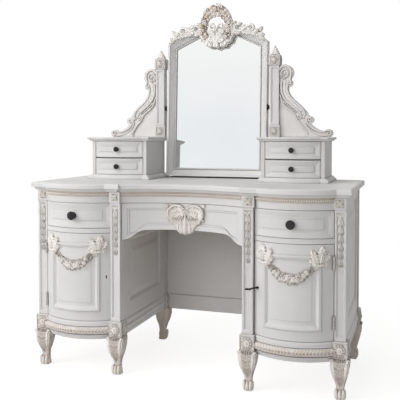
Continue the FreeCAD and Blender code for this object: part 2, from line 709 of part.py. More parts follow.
# Base mouldings
def base_front():
    r = BOW_RADIUS
    high = LEG_TOP
    low = LEG_TOP - BASE_HEIGHT
    t = BASE_HEIGHT
    q = BASE_PROUD
    edge = r + q * 0.3
    section = [(r - BASE_THICK, low + t * 0.05), (r - q * 0.6, low),
               (r - q * 0.3, low + t * 0.13, edge, low + t * 0.27), (edge - BASE_QUIRK, low + t * 0.285),
               (edge, low + t * 0.31), (r + q, low + t * 0.5, edge, low + t * 0.69),
               (edge - BASE_QUIRK, low + t * 0.715), (edge, low + t * 0.73),
               (edge, high - t * 0.08), (r, high), (r - BASE_THICK, high)]
    return bow_run(BOW, section, PED_X - INNER_X - LEG_SIZE / 2)


def base_side(face, facing, y0):
    high = LEG_TOP
    low = LEG_TOP - BASE_HEIGHT + 8
    y1 = BACK + LEG_BLOCK_PROUD - LEG_SIZE
    inner = face - facing * 22
    steps = [V(inner, y0, low), V(face - facing * 6, y0, low), V(face, y0, low + 14), V(face, y0, low + 24),
             (V(face + facing * 4, y0, low + 34), V(face, y0, low + 44)), V(face, y0, high - 8),
             V(face - facing * 5, y0, high), V(inner, y0, high)]
    return prism(steps, V(0, y1 - y0, 0))


leg_rear_in = FRONT - LEG_BLOCK_PROUD + LEG_SIZE
leg_rear_out = leg_rear_in + OUTER_SETBACK
base_in = base_side(KNEEHOLE_WIDTH / 2, -1, leg_rear_in)
base_out = base_side(OUTER_X + POST_SIZE / 2, 1, leg_rear_out)
put("front_base_mouldings", *both(base_front()))
put("side_base_mouldings", *(both(base_in) + both(base_out)))

# Pedestal drawers
front_back = FRONT + BOW_SETBACK + FRONT_MIN
front_half = HALF - FRONT_GAP
ped_front = bow_front(BOW, BOW_RADIUS, front_half, front_back, RAIL_TOP + FRONT_GAP, FRIEZE_LOW - FRONT_GAP)
box_half = PED_X - SIDE_IN - ((SIDE_OUT - SIDE_IN - PEDESTAL_OPENING) / 2 + FRONT_GAP + 4) - GUIDE_GAP
ped_box = drawer_box(PED_X - box_half, PED_X + box_half, front_back, front_back + DRAWER_LENGTH,
                     RAIL_TOP + RUN_GAP, RAIL_TOP + RUN_GAP + DRAWER_WALL_HEIGHT, DRAWER_WALL)
ped_knob = knob(KNOB_RADIUS, KNOB_REACH, PED_X, BOW_Y - BOW_RADIUS + FRONT_FIELD_DEPTH,
                (RAIL_TOP + FRIEZE_LOW) / 2)
for name, turn in (("left", flip), ("right", lambda shape: shape)):
    put(name + "_drawer_front", turn(ped_front))
    put(name + "_drawer_box", *[turn(board) for board in ped_box])
    put(name + "_drawer_knob", turn(ped_knob))


# Centre drawer with the arched lower edge
def arch(inset, y):
    top = FRIEZE_LOW - FRONT_GAP - inset
    crown = FRIEZE_LOW - ARCH_CENTRE + inset
    shoulder = FRIEZE_LOW - ARCH_SHOULDER + inset
    end = FRIEZE_LOW - ARCH_END + inset
    half = KNEEHOLE_WIDTH / 2 - FRONT_GAP - inset
    inner = ARCH_SHOULDER_X - inset * 0.6
    run = (half - inner) / 2
    drop = (shoulder - end) / 2
    r = (run * run + drop * drop) / (2 * drop)
    swing = math.asin(run / r) / 2
    far = r * math.sin(swing)
    rise = r * (1 - math.cos(swing))
    return [V(-half, y, top), V(-half, y, end),
            (V(-half + far, y, end + rise), V(-half + run, y, end + drop)),
            (V(-inner - far, y, shoulder - rise), V(-inner, y, shoulder)),
            (V(0, y, crown), V(inner, y, shoulder)),
            (V(inner + far, y, shoulder - rise), V(half - run, y, end + drop)),
            (V(half - far, y, end + rise), V(half, y, end)), V(half, y, top)]


def arched_board(inset, near, far):
    # The arched outline kept between two radii of the hollow.
    low = FRIEZE_LOW - ARCH_END - 20
    curved = hollow_board(near, far, HOLLOW_HALF + 10, low, FRIEZE_LOW + 20)
    outline = arch(inset, CENTRE_FRONT - CENTRE_HOLLOW)
    return prism(outline, V(0, 3 * CENTRE_HOLLOW + CENTRE_THICK, 0)).common(curved)


step_deep = CENTRE_FIELD_DEPTH / 2
centre_slab = arched_board(0, HOLLOW_RADIUS, HOLLOW_RADIUS + CENTRE_THICK)
centre_slab = centre_slab.cut(arched_board(CENTRE_BORDER, HOLLOW_RADIUS - 1, HOLLOW_RADIUS + step_deep))
centre_slab = centre_slab.cut(arched_board(CENTRE_BORDER + CENTRE_STEP, HOLLOW_RADIUS - 1,
                                           HOLLOW_RADIUS + CENTRE_FIELD_DEPTH))
put("centre_drawer_front", centre_slab)
centre_rear = CENTRE_FRONT + CENTRE_THICK + DRAWER_LENGTH
centre_half = KNEEHOLE_WIDTH / 2 - FRONT_GAP - 2
centre_seat = centre_low + RUN_GAP
hollow_space = Part.makeCylinder(HOLLOW_RADIUS + CENTRE_THICK + CENTRE_BOX_GAP, CENTRE_WALL_HEIGHT + 20,
                                 V(0, HOLLOW_Y, centre_seat - 10))
centre_boards = drawer_box(-centre_half, centre_half, CENTRE_FRONT, centre_rear,
                           centre_seat, centre_seat + CENTRE_WALL_HEIGHT, DRAWER_WALL)
put("centre_drawer_box", *[board.cut(hollow_space) for board in centre_boards])


def cartouche():
    # Shell between two scrolled lobes, closing to a point below.
    high = FRIEZE_LOW - FRONT_GAP - CARTOUCHE_TOP_MARGIN
    low = high - CARTOUCHE_HEIGHT
    w = CARTOUCHE_HALF
    h = CARTOUCHE_HEIGHT

    def shape(shrink, y):
        # Shares of the half width, and of the height down from the top.
        middle = (high + low) / 2

        def at(a, d):
            return V(shrink * w * a, y, middle + shrink * h * (0.5 - d))

        return [at(0, 1.0), (at(0.30, 0.955), at(0.44, 0.83)), (at(0.46, 0.72), at(0.57, 0.63)),
                (at(0.80, 0.58), at(0.95, 0.42)), (at(1.0, 0.2), at(0.8, 0.04)),
                (at(0.5, 0.0), at(0.22, 0.06)), (at(0.1, 0.11), at(0, 0.14)),
                (at(-0.1, 0.11), at(-0.22, 0.06)), (at(-0.5, 0.0), at(-0.8, 0.04)),
                (at(-1.0, 0.2), at(-0.95, 0.42)), (at(-0.80, 0.58), at(-0.57, 0.63)),
                (at(-0.46, 0.72), at(-0.44, 0.83)), (at(-0.30, 0.955), at(0, 1.0))]

    face = CENTRE_FRONT + CENTRE_HOLLOW
    curved = hollow_board(HOLLOW_RADIUS - CARTOUCHE_RIM, HOLLOW_RADIUS + CENTRE_FIELD_DEPTH, w + 5,
                          low - 5, high + 5)
    rim = prism(shape(1.0, face - 3 * CARTOUCHE_PROUD), V(0, 5 * CARTOUCHE_PROUD, 0)).common(curved)
    crown = taper(shape(0.94, face - CARTOUCHE_RIM / 2), shape(0.62, face - CARTOUCHE_PROUD))
    return rim.fuse(crown).cut(centre_slab)


put("centre_cartouche", cartouche().removeSplitter())


# Doors
def door_panel():
    # Raised moulding, the dish inside it and the flat field in the dish.
    low = LEG_TOP + FRONT_GAP
    high = RAIL_LOW - FRONT_GAP
    half = HALF - DOOR_HINGE_GAP
    a = DOOR_BORDER
    b = a + DOOR_MOULD_WIDTH
    c = a + DOOR_MOULD_WIDTH * 0.2
    d = a + DOOR_MOULD_WIDTH * 0.45
    e = b + DOOR_FIELD_MARGIN
    f = e + DOOR_FIELD_BEVEL
    proud = BOW_RADIUS + DOOR_MOULD_PROUD
    sunk = BOW_RADIUS - DOOR_FIELD_DEPTH
    raised = bow_frustum(BOW, BOW_RADIUS - DOOR_MOULD_PROUD, half - a, low + a, high - a,
                         proud, half - c, low + c, high - c)
    dish = bow_frustum(BOW, sunk, half - b, low + b, high - b,
                       proud + 1, half - d, low + d, high - d)
    field = bow_frustum(BOW, sunk - DOOR_FIELD_RISE, half - e, low + e, high - e,
                        sunk + DOOR_FIELD_RISE, half - f, low + f, high - f)
    return raised, dish, field


def door_leaf():
    low = LEG_TOP + FRONT_GAP
    high = RAIL_LOW - FRONT_GAP
    r_in = BOW_RADIUS - DOOR_THICK
    hinge_side = PED_X + HALF - DOOR_HINGE_GAP
    free = PED_X - HALF + DOOR_HINGE_GAP
    start, crown, end = bow_arc(BOW, BOW_RADIUS, free, hinge_side, low)
    back_end, back_crown, back_start = bow_arc(BOW, r_in, free + DOOR_FREE_BEVEL, hinge_side, low)
    leaf = prism([start, (crown, end), back_start, (back_crown, back_end)], V(0, 0, high - low))
    raised, dish, field = door_panel()
    leaf = leaf.fuse(raised).cut(dish).fuse(field)
    face = bow_y(BOW, BOW_RADIUS, HALF - DOOR_HINGE_GAP)
    third = HINGE_LENGTH / 3
    for place in hinge_places():
        leaf = leaf.cut(hinge_mortise(hinge_side - HINGE_LEAF, hinge_side, face, place))
        web = box(hinge_side - HINGE_LEAF, hinge_side, HINGE_Y, face, place + third, place + 2 * third)
        leaf = leaf.cut(web)
    return leaf


KEY_Z = LEG_TOP + KEY_LEVEL
KEY_TURN = -math.degrees(math.asin((HALF - DOOR_HINGE_GAP - KEY_INSET) / BOW_RADIUS))
LOCK_Y = BOW_Y - BOW_RADIUS + DOOR_THICK


def on_door(shape):
    # The lock is drawn at the crown of the bow and swung round to the free edge.
    return shape.rotated(V(PED_X, BOW_Y, 0), V(0, 0, 1), KEY_TURN)


def lock_block():
    return box(PED_X - LOCK_REACH, PED_X + LOCK_TAIL, LOCK_Y, LOCK_Y + LOCK_DEPTH,
               KEY_Z - LOCK_HEIGHT / 2, KEY_Z + LOCK_HEIGHT / 2)


def lock_case():
    w = LOCK_WALL
    hollow = box(PED_X - LOCK_REACH + w, PED_X + LOCK_TAIL - w, LOCK_Y + w, LOCK_Y + LOCK_DEPTH - w,
                 KEY_Z - LOCK_HEIGHT / 2 + w, KEY_Z + LOCK_HEIGHT / 2 - w)
    slot = box(PED_X - LOCK_REACH - 1, PED_X - LOCK_REACH + w + 1, bolt_y() - RUN_GAP,
               bolt_y() + BOLT_THICK + RUN_GAP, bolt_z() - RUN_GAP, bolt_z() + BOLT_HEIGHT + RUN_GAP)
    return lock_block().cut(hollow).cut(slot).cut(key_bore())


def bolt_y():
    return LOCK_Y + (LOCK_DEPTH - BOLT_THICK) / 2


def bolt_z():
    return KEY_Z + 11.0


def lock_bolt():
    return box(PED_X - LOCK_REACH - 1, PED_X + LOCK_TAIL - LOCK_WALL - 2, bolt_y(), bolt_y() + BOLT_THICK,
               bolt_z(), bolt_z() + BOLT_HEIGHT)


def key_bore():
    rear = LOCK_Y + LOCK_WALL + 1
    deep = DOOR_THICK + LOCK_WALL + 12
    bore = Part.makeCylinder(3.6, deep, V(PED_X, rear, KEY_Z), V(0, -1, 0))
    slot = box(PED_X - 1.6, PED_X + 1.6, rear - deep, rear, KEY_Z - 10, KEY_Z)
    return bore.fuse(slot)


def door_key():
    face = BOW_Y - BOW_RADIUS
    tip = LOCK_Y + LOCK_DEPTH - LOCK_WALL - 0.6
    grip = face - KEY_REACH
    shank = Part.makeCylinder(3.0, tip - grip, V(PED_X, grip, KEY_Z), V(0, 1, 0))
    collar = Part.makeCylinder(5.0, 3.0, V(PED_X, face - 9, KEY_Z), V(0, 1, 0))
    bit = box(PED_X - 1.2, PED_X + 1.2, tip - 4.5, tip, KEY_Z - 9, KEY_Z)
    stem = Part.makeCylinder(3.0, 8.0, V(PED_X, grip, KEY_Z), V(0, -1, 0))
    whole = shank.fuse([collar, bit, stem])
    for x, y in ((-7.0, -5.0), (7.0, -5.0), (0.0, -13.5)):
        whole = whole.fuse(Part.makeTorus(5.4, 1.8, V(PED_X + x, grip + y, KEY_Z), V(0, 0, 1)))
    return whole.removeSplitter()


leaf = door_leaf().cut(on_door(lock_block())).cut(on_door(key_bore()))


def relief(steps, r_in, r_out):
    # Flat outline, seen from the front, carried back onto a bowed shell.
    ahead = prism(steps, V(0, BOW_RADIUS, 0))
    low = ahead.BoundBox.ZMin - 1
    tall = ahead.BoundBox.ZLength + 2
    axis = V(PED_X, BOW_Y, low)
    return ahead.common(Part.makeCylinder(r_out, tall, axis)).cut(Part.makeCylinder(r_in, tall, axis))


def flower(radius, rise, swing, z):
    # Round head that stands on the bow, swing degrees to the right of its crown.
    y = BOW_Y - BOW_RADIUS - SWAG_PROUD / 2
    proud = SWAG_PROUD / 2 + 1
    steps = [V(PED_X, y, z), V(PED_X + radius, y, z), V(PED_X + radius, y - proud, z),
             dome(PED_X, y - proud, z, radius, rise)]
    head = turned(steps, V(PED_X, y, z), V(0, 1, 0), 360)
    return head.rotated(V(PED_X, BOW_Y, 0), V(0, 0, 1), swing)


def swag_place(share):
    # Middle of the swag from end to end, share running from -1 to 1.
    x = share * (KNOT_X - KNOT_HALF * 0.7)
    return x, SWAG_HIGH - SWAG_DROP * (1 - share * share)


def garland():
    # Swag of flowers hung from two ribbon knots at the upper corners of the panel.
    ahead = BOW_Y - BOW_RADIUS - 40

    def at(x, z):
        return V(PED_X + x, ahead, z)

    lobes = FLOWER_COUNT
    steps = []
    for number in range(lobes + 1):
        share = 2 * number / lobes - 1
        x, z = swag_place(share)
        thick = SWAG_END + (SWAG_MIDDLE - SWAG_END) * (1 - share * share)
        if number == 0:
            steps.append(at(x, z - thick))
        else:
            a, b = swag_place(share - 1 / lobes)
            steps.append((at(a, b - thick - SWAG_END * 0.5), at(x, z - thick)))
    x, z = swag_place(1)
    steps.append(at(x, z + SWAG_END))
    x, z = swag_place(0)
    steps.append((at(0, z + SWAG_MIDDLE), at(swag_place(-1)[0], swag_place(-1)[1] + SWAG_END)))
    field_face = BOW_RADIUS - DOOR_FIELD_DEPTH + DOOR_FIELD_RISE
    band = relief(steps, field_face, BOW_RADIUS + SWAG_PROUD)
    made = [band]
    for number in range(lobes):
        share = (2 * number + 1) / lobes - 1
        x, z = swag_place(share)
        pitch = 2 * (KNOT_X - KNOT_HALF * 0.7) / lobes
        size = (pitch / 2 - FLOWER_GAP) * (1 - 0.3 * share * share)
        head = flower(size, FLOWER_RISE, math.degrees(math.asin(x / BOW_RADIUS)), z)
        made.append(head.cut(band))
    w = KNOT_HALF
    h = KNOT_HEIGHT / 2
    x = KNOT_X
    z = KNOT_Z
    ribbon = [at(x, z - h), (at(x + w * 0.75, z - h * 0.65), at(x + w, z - h * 0.05)),
              (at(x + w * 0.95, z + h * 0.75), at(x + w * 0.45, z + h)),
              (at(x + w * 0.16, z + h * 0.7), at(x, z + h * 0.35)),
              (at(x - w * 0.16, z + h * 0.7), at(x - w * 0.45, z + h)),
              (at(x - w * 0.95, z + h * 0.75), at(x - w, z - h * 0.05)),
              (at(x - w * 0.75, z - h * 0.65), at(x, z - h))]
    raised, dish, field = door_panel()
    knot = relief(ribbon, BOW_RADIUS, BOW_RADIUS + DOOR_MOULD_PROUD + KNOT_PROUD)
    knot = knot.cut(raised.cut(dish)).cut(band)
    made.append(knot)
    made.append(knot.mirror(V(PED_X, 0, 0), V(1, 0, 0)))
    return made


swag = garland()
case = on_door(lock_case())
bolt = on_door(lock_bolt())
key = on_door(door_key())
for name, turn in (("left", flip), ("right", lambda shape: shape)):
    put(name + "_door", turn(leaf))
    put(name + "_door_garland", *[turn(piece) for piece in swag])
    put(name + "_door_hinge_leaves", *[turn(hinge_door_leaf(z)) for z in hinge_places()])
put("left_door_lock", flip(case), flip(bolt))
put("right_door_lock", case)
put("right_lock_bolt", bolt)
put("door_key", key)
post_leaves = []
for z in hinge_places():
    post_leaves += both(hinge_post_leaf(z))
put("hinge_post_leaves", *post_leaves)
put("lock_strikes", *both(box(SIDE_IN, INNER_X + POST_SIZE / 2, POST_BACK_IN, POST_BACK_IN + STRIKE_DEPTH,
                              bolt_z() - 8, bolt_z() + BOLT_HEIGHT + 8)))

# Caskets
POST_X = MIRROR_HALF + MIRROR_POST_GAP + MIRROR_POST / 2
CAS_X = POST_X - CASKET_EDGE_IN + CASKET_WIDTH / 2
CAS_BACK = TOP_BACK - CASKET_BACK_MARGIN
CAS_FRONT = CAS_BACK - CASKET_DEPTH
CASE_HALF = CASKET_WIDTH / 2 - CASKET_OVERHANG
CASE_FRONT = CAS_FRONT + CASKET_OVERHANG
CASE_BACK = CAS_BACK - CASKET_OVERHANG
CASE_LOW = TABLE_HEIGHT + CASKET_BASE
CASE_HIGH = CASE_LOW + 2 * CASKET_DRAWER + 3
CAP_TOP = CASE_HIGH + CASKET_CAP
CAS_HALF = CASE_HALF - CASKET_WALL
CAS_RADIUS = (CAS_HALF * CAS_HALF + CASKET_RISE * CASKET_RISE) / (2 * CASKET_RISE)
CAS_BOW = (CAS_X, CASE_FRONT + 2 - CASKET_RISE + CAS_RADIUS)


def casket_outline(inset, z):
    radius = CAS_RADIUS + CASKET_OVERHANG - inset
    half = CASKET_WIDTH / 2 - inset
    front = CAS_FRONT + inset
    rear = CAS_BACK - inset
    run = math.sqrt(radius * radius - (CAS_BOW[1] - front) ** 2)
    return [V(CAS_X - half, front, z), V(CAS_X - run, front, z),
            (V(CAS_X, CAS_BOW[1] - radius, z), V(CAS_X + run, front, z)), V(CAS_X + half, front, z),
            V(CAS_X + half, rear, z), V(CAS_X - half, rear, z)]


def casket_base():
    foot = prism(casket_outline(0, TABLE_HEIGHT), V(0, 0, CASKET_BASE * 0.4))
    mid = TABLE_HEIGHT + CASKET_BASE * 0.4
    slope = taper(casket_outline(2, mid), casket_outline(CASKET_OVERHANG - 5, CASE_LOW))
    return foot.fuse(slope)


def casket_cap():
    mid = CASE_HIGH + CASKET_CAP * 0.55
    cove = taper(casket_outline(CASKET_OVERHANG - 6, CASE_HIGH), casket_outline(2, mid))
    return cove.fuse(rounded_edge(casket_outline, mid, CAP_TOP, CASKET_EDGE_ROUND))


dust_z = CASE_LOW + CASKET_DRAWER + 1.5
casket_case = [box(CAS_X - CASE_HALF, CAS_X - CAS_HALF, CASE_FRONT, CASE_BACK, CASE_LOW, CASE_HIGH),
               box(CAS_X + CAS_HALF, CAS_X + CASE_HALF, CASE_FRONT, CASE_BACK, CASE_LOW, CASE_HIGH),
               box(CAS_X - CAS_HALF, CAS_X + CAS_HALF, CASE_BACK - CASKET_BACK, CASE_BACK,
                   CASE_LOW, CASE_HIGH),
               box(CAS_X - CAS_HALF, CAS_X + CAS_HALF, CASE_FRONT + FRONT_MIN + 6,
                   CASE_BACK - CASKET_BACK, dust_z - DUST_BOARD / 2, dust_z + DUST_BOARD / 2)]
put("casket_bases", *both(casket_base()))
put("casket_caps", *both(casket_cap()))
cases = []
for board in casket_case:
    cases += both(board)
put("casket_cases", *cases)
small_back = CASE_FRONT + FRONT_MIN
small_half = CAS_HALF - FRONT_GAP
small_rear = CASE_BACK - CASKET_BACK - CASKET_BOX_CLEAR
levels = (("lower", CASE_LOW, CASE_LOW + CASKET_DRAWER), ("upper", dust_z + 1.5, CASE_HIGH))
for level, low, high in levels:
    seat = CASE_LOW if level == "lower" else dust_z + DUST_BOARD / 2
    face = bow_front(CAS_BOW, CAS_RADIUS, small_half, small_back, low + 1, high - 1)
    boards = drawer_box(CAS_X - small_half, CAS_X + small_half, small_back, small_rear,
                        seat + RUN_GAP, seat + RUN_GAP + CASKET_BOX_HEIGHT, CASKET_DRAWER_WALL)
    grip = knob(SMALL_KNOB_RADIUS, SMALL_KNOB_REACH, CAS_X,
                CAS_BOW[1] - CAS_RADIUS + FRONT_FIELD_DEPTH, (low + high) / 2)
    for side, turn in (("left", flip), ("right", lambda shape: shape)):
        put(side + "_" + level + "_casket_drawer", turn(face), *[turn(board) for board in boards])
        put(side + "_" + level + "_casket_knob", turn(grip))

# Mirror posts with finials and scroll brackets
POST_Y = CAS_BACK - CASKET_EDGE_ROUND - MIRROR_POST_DEPTH / 2 - MIRROR_BLOCK_PROUD
POST_TOP = CAP_TOP + MIRROR_POST_HEIGHT
PIVOT_Z = TABLE_HEIGHT + MIRROR_TABLE_GAP + PIVOT_HEIGHT


def post_block(low, high):
    # Square block that stands proud of the shaft all round.
    half = MIRROR_POST / 2 + MIRROR_BLOCK_PROUD
    deep = MIRROR_POST_DEPTH / 2 + MIRROR_BLOCK_PROUD
    return box(POST_X - half, POST_X + half, POST_Y - deep, POST_Y + deep, low, high)


def post_blocks():
    foot = post_block(CAP_TOP, CAP_TOP + MIRROR_BLOCK_LOW)
    return [foot, post_block(POST_TOP - MIRROR_BLOCK_TOP, POST_TOP)]


def mirror_post():
    h = MIRROR_POST / 2
    face = POST_Y - MIRROR_POST_DEPTH / 2
    shaft = box(POST_X - h, POST_X + h, face, face + MIRROR_POST_DEPTH, CAP_TOP, POST_TOP)
    low = CAP_TOP + MIRROR_BLOCK_LOW + 10
    high = POST_TOP - MIRROR_BLOCK_TOP - 10
    flute = taper(rect_y(POST_X - h + 8, POST_X + h - 8, low, high, face),
                  rect_y(POST_X - h + 11, POST_X + h - 11, low + 3, high - 3, face + 4))
    bore = Part.makeCylinder(PIVOT_RADIUS + PIVOT_CLEAR, h, V(POST_X - h, POST_Y, PIVOT_Z), V(1, 0, 0))
    return shaft.fuse(post_blocks()).cut(flute).cut(bore).removeSplitter()


def finial():
    wires = []
    for share, width in ((0.0, 0.46), (0.22, 0.45), (0.46, 0.29), (0.7, 0.18), (0.88, 0.12), (1.0, 0.03)):
        half = width * MIRROR_POST
        z = POST_TOP + share * FINIAL_HEIGHT
        wires.append(rounded_section(half, -half, half, z).translated(V(POST_X, POST_Y, 0)))
    return Part.makeLoft(wires, True, False)


def bracket():
    # S scroll with three curls, a raised border round a thinner panel.
    x0 = POST_X + MIRROR_POST / 2
    z0 = CAP_TOP

    def at(along, up, y):
        # Hundredths of the length and of the height.
        return V(x0 + along * BRACKET_LENGTH / 100, y, z0 + up * BRACKET_HEIGHT / 100)

    front = POST_Y - BRACKET_THICK / 2

    def edge(y):
        return [at(0, 0, y), at(100, 0, y), (at(107.7, 5.3, y), at(100, 10.7, y)),
                (at(95.5, 9.7, y), at(92.7, 7.5, y)), (at(76.4, 11.6, y), at(63.6, 19.1, y)),
                (at(70, 24.1, y), at(60.9, 28.8, y)), (at(51.4, 38.9, y), at(36.4, 46.4, y)),
                (at(20.5, 56.4, y), at(16.8, 70.2, y)), (at(27.3, 74.9, y), at(20.9, 79.9, y)),
                (at(29.1, 90, y), at(15.5, 100, y)), (at(5.5, 99.4, y), at(0, 95.3, y))]

    def inside(y):
        return [at(0, 0, y), at(55.5, 0, y), (at(47.3, 13.8, y), at(33.2, 25.7, y)),
                (at(28.2, 33.9, y), at(17.3, 40.8, y)), (at(8.2, 56.4, y), at(6.4, 74, y)), at(0, 74, y)]

    whole = prism(edge(front), V(0, BRACKET_THICK, 0))
    sink = (BRACKET_THICK - BRACKET_PANEL) / 2
    near = prism(inside(front), V(0, sink, 0))
    far = prism(inside(front + BRACKET_THICK - sink), V(0, sink, 0))
    return whole.cut(near).cut(far).cut(post_blocks())


post = mirror_post()
put("mirror_posts", *both(post))
put("post_finials", *both(finial()))
put("scroll_brackets", *both(bracket()))
for z in (CAP_TOP + MIRROR_BLOCK_LOW / 2, POST_TOP - MIRROR_BLOCK_TOP / 2):
    face = POST_Y - MIRROR_POST_DEPTH / 2 - MIRROR_BLOCK_PROUD
    flowers += both(rosette(MIRROR_ROSETTE_RADIUS, POST_X, face, z))
put("carved_rosettes", *flowers)

# Mirror, drawn upright and then leaned back on its pivots
MIRROR_LOW = TABLE_HEIGHT + MIRROR_TABLE_GAP
MIRROR_FRONT = POST_Y - MIRROR_DEPTH / 2 + MIRROR_SET_BACK


def mirror_outline(inset, y):
    slope = math.atan2(MIRROR_RISE, MIRROR_HALF - MIRROR_TOP_HALF)
    half = MIRROR_HALF - inset
    top = MIRROR_LOW + MIRROR_SHOULDER + MIRROR_RISE - inset
    shoulder = MIRROR_LOW + MIRROR_SHOULDER - inset * math.tan(math.pi / 4 - slope / 2)
    flat = MIRROR_TOP_HALF - inset * math.tan(slope / 2)
    low = MIRROR_LOW + inset
    return [V(-half, y, low), V(half, y, low), V(half, y, shoulder), V(flat, y, top), V(-flat, y, top),
            V(-half, y, shoulder)]


def lean(shape):
    return shape.rotated(V(0, POST_Y, PIVOT_Z), V(1, 0, 0), -MIRROR_LEAN)


def mirror_frame():
    # Outer lip, quirk, cove and an inner bead round the glass.
    y = MIRROR_FRONT
    whole = prism(mirror_outline(0, y), V(0, MIRROR_DEPTH, 0))
    sight = MIRROR_LIP + MIRROR_COVE
    mid = MIRROR_LIP + MIRROR_COVE * 0.4
    ring = sight - MIRROR_BEAD
    floor = y + MIRROR_GLASS_BACK * 0.85
    quirk = prism(mirror_outline(MIRROR_LIP, y), V(0, MIRROR_QUIRK, 0))
    half_way = mirror_outline(mid, y + MIRROR_GLASS_BACK * 0.5)
    first = taper(mirror_outline(MIRROR_LIP, y + MIRROR_QUIRK), half_way)
    second = taper(half_way, mirror_outline(ring, floor))
    opening = prism(mirror_outline(sight, floor), V(0, MIRROR_DEPTH, 0))
    rebate = prism(mirror_outline(sight - 8, y + MIRROR_GLASS_BACK), V(0, MIRROR_DEPTH, 0))
    crown = y + MIRROR_GLASS_BACK * 0.65
    bead = taper(mirror_outline(ring, floor), mirror_outline(ring + MIRROR_BEAD * 0.3, crown))
    inner = taper(mirror_outline(sight, floor), mirror_outline(sight - MIRROR_BEAD * 0.3, crown))
    return whole.cut([quirk, first, second, opening, rebate]).fuse(bead.cut(inner)).removeSplitter()


frame = mirror_frame()
sight = MIRROR_LIP + MIRROR_COVE
glass = prism(mirror_outline(sight - 8, MIRROR_FRONT + MIRROR_GLASS_BACK), V(0, MIRROR_GLASS, 0))
board_front = MIRROR_FRONT + MIRROR_GLASS_BACK + MIRROR_GLASS
board = prism(mirror_outline(sight - 8, board_front), V(0, MIRROR_BOARD, 0))
put("mirror_frame", lean(frame))
put("mirror_glass", lean(glass))
put("mirror_back_board", lean(board))


def pivots():
    made = []
    face = MIRROR_HALF
    gap = MIRROR_POST_GAP
    along = V(1, 0, 0)
    plate = Part.makeCylinder(PIVOT_RADIUS * 3, PIVOT_PLATE, V(face, POST_Y, PIVOT_Z), along)
    hub = Part.makeCylinder(PIVOT_RADIUS * 1.8, gap - PIVOT_GAP, V(face, POST_Y, PIVOT_Z), along)
    pin = Part.makeCylinder(PIVOT_RADIUS, gap + MIRROR_POST / 2 - PIVOT_GAP, V(face, POST_Y, PIVOT_Z), along)
    return both(plate.fuse([hub, pin]).removeSplitter())


put("mirror_pivots", *pivots())


def crest():
    # Wreath over a fan of leaves, with a leafy arm along each shoulder of the frame.
    top = MIRROR_LOW + MIRROR_SHOULDER + MIRROR_RISE
    shoulder = MIRROR_LOW + MIRROR_SHOULDER
    centre = top + WREATH_RISE
    y = MIRROR_FRONT - CREST_PROUD
    wreath = Part.makeTorus(WREATH_RADIUS, WREATH_TUBE, V(0, y + CREST_THICK / 2, centre), V(0, 1, 0))
    wide = WREATH_RADIUS + WREATH_TUBE * 0.6
    high = centre - WREATH_TUBE
    deep = FAN_LENGTH - WREATH_TUBE
    fan = [V(-wide, y, high), V(wide, y, high)]
    here = V(wide, y, high)
    for lobe in range(FAN_LOBES):
        angle = math.pi * (lobe + 1) / (FAN_LOBES + 1)
        spot = V(wide * 0.96 * math.cos(angle), y, high - deep * math.sin(angle))
        fan.append((lobe_middle(here, spot), spot))
        here = spot
    fan.append((lobe_middle(here, fan[0]), fan[0]))
    run = MIRROR_HALF - WREATH_RADIUS

    def arm_at(along, up):
        # Shares of the way from the wreath to the corner, and of the rise of the frame.
        return V(WREATH_RADIUS + along * run, y, shoulder + up * MIRROR_RISE)

    arm = [arm_at(-0.1, 0.35), arm_at(-0.1, 1.28), (arm_at(0.18, 1.55), arm_at(0.38, 1.08)),
           (arm_at(0.58, 1.36), arm_at(0.78, 0.96)), (arm_at(0.88, 1.0), arm_at(0.97, 0.62)),
           (arm_at(1.02, 0.25), arm_at(0.94, -0.1)), (arm_at(0.62, 0.36), arm_at(0.2, 0.66))]
    pieces = [prism(fan, V(0, CREST_THICK, 0))] + both(prism(arm, V(0, CREST_THICK, 0)))
    solid = prism(mirror_outline(0, MIRROR_FRONT), V(0, MIRROR_DEPTH, 0))
    return wreath.fuse(pieces).cut(solid)


def lobe_middle(first, second):
    # Point that rounds one lobe between two points of a leafy edge.
    chord = second - first
    out = V(-chord.z, 0, chord.x) * FAN_SWELL
    return (first + second) * 0.5 - out


put("mirror_crest", lean(crest()))
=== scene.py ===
import math
import random
import bmesh
import bpy
from bmesh.types import BMFace, BMVert
from mathutils import Matrix, Vector


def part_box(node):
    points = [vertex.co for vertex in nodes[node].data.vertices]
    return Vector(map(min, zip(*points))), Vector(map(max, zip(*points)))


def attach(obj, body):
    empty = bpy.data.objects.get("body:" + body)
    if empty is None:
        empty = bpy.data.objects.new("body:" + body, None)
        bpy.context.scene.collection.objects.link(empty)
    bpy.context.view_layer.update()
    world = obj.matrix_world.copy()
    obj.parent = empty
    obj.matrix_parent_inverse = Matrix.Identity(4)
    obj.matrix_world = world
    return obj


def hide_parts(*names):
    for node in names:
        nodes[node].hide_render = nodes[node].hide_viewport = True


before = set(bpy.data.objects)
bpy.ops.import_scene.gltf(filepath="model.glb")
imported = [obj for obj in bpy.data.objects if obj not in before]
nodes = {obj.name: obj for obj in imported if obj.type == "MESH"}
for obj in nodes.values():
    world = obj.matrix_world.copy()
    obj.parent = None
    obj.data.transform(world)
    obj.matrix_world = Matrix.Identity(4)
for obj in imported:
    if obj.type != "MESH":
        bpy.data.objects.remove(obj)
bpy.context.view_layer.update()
scene = bpy.context.scene
scene.view_settings.view_transform = "Standard"
MM = 0.001
FLOAT, VECTOR = "NodeSocketFloat", "NodeSocketVector"


# Shader helpers
def link(tree, a, b):
    tree.links.new(a, b)


def add(tree, kind, **values):
    node = tree.nodes.new(kind)
    for key, value in values.items():
        setattr(node, key, value)
    return node


def fill(node, **values):
    for key, value in values.items():
        node.inputs[key].default_value = value
    return node


def object_place(tree):
    return add(tree, "ShaderNodeTexCoord").outputs["Object"]


def apart(tree, vector):
    node = add(tree, "ShaderNodeSeparateXYZ")
    link(tree, vector, node.inputs[0])
    return node.outputs


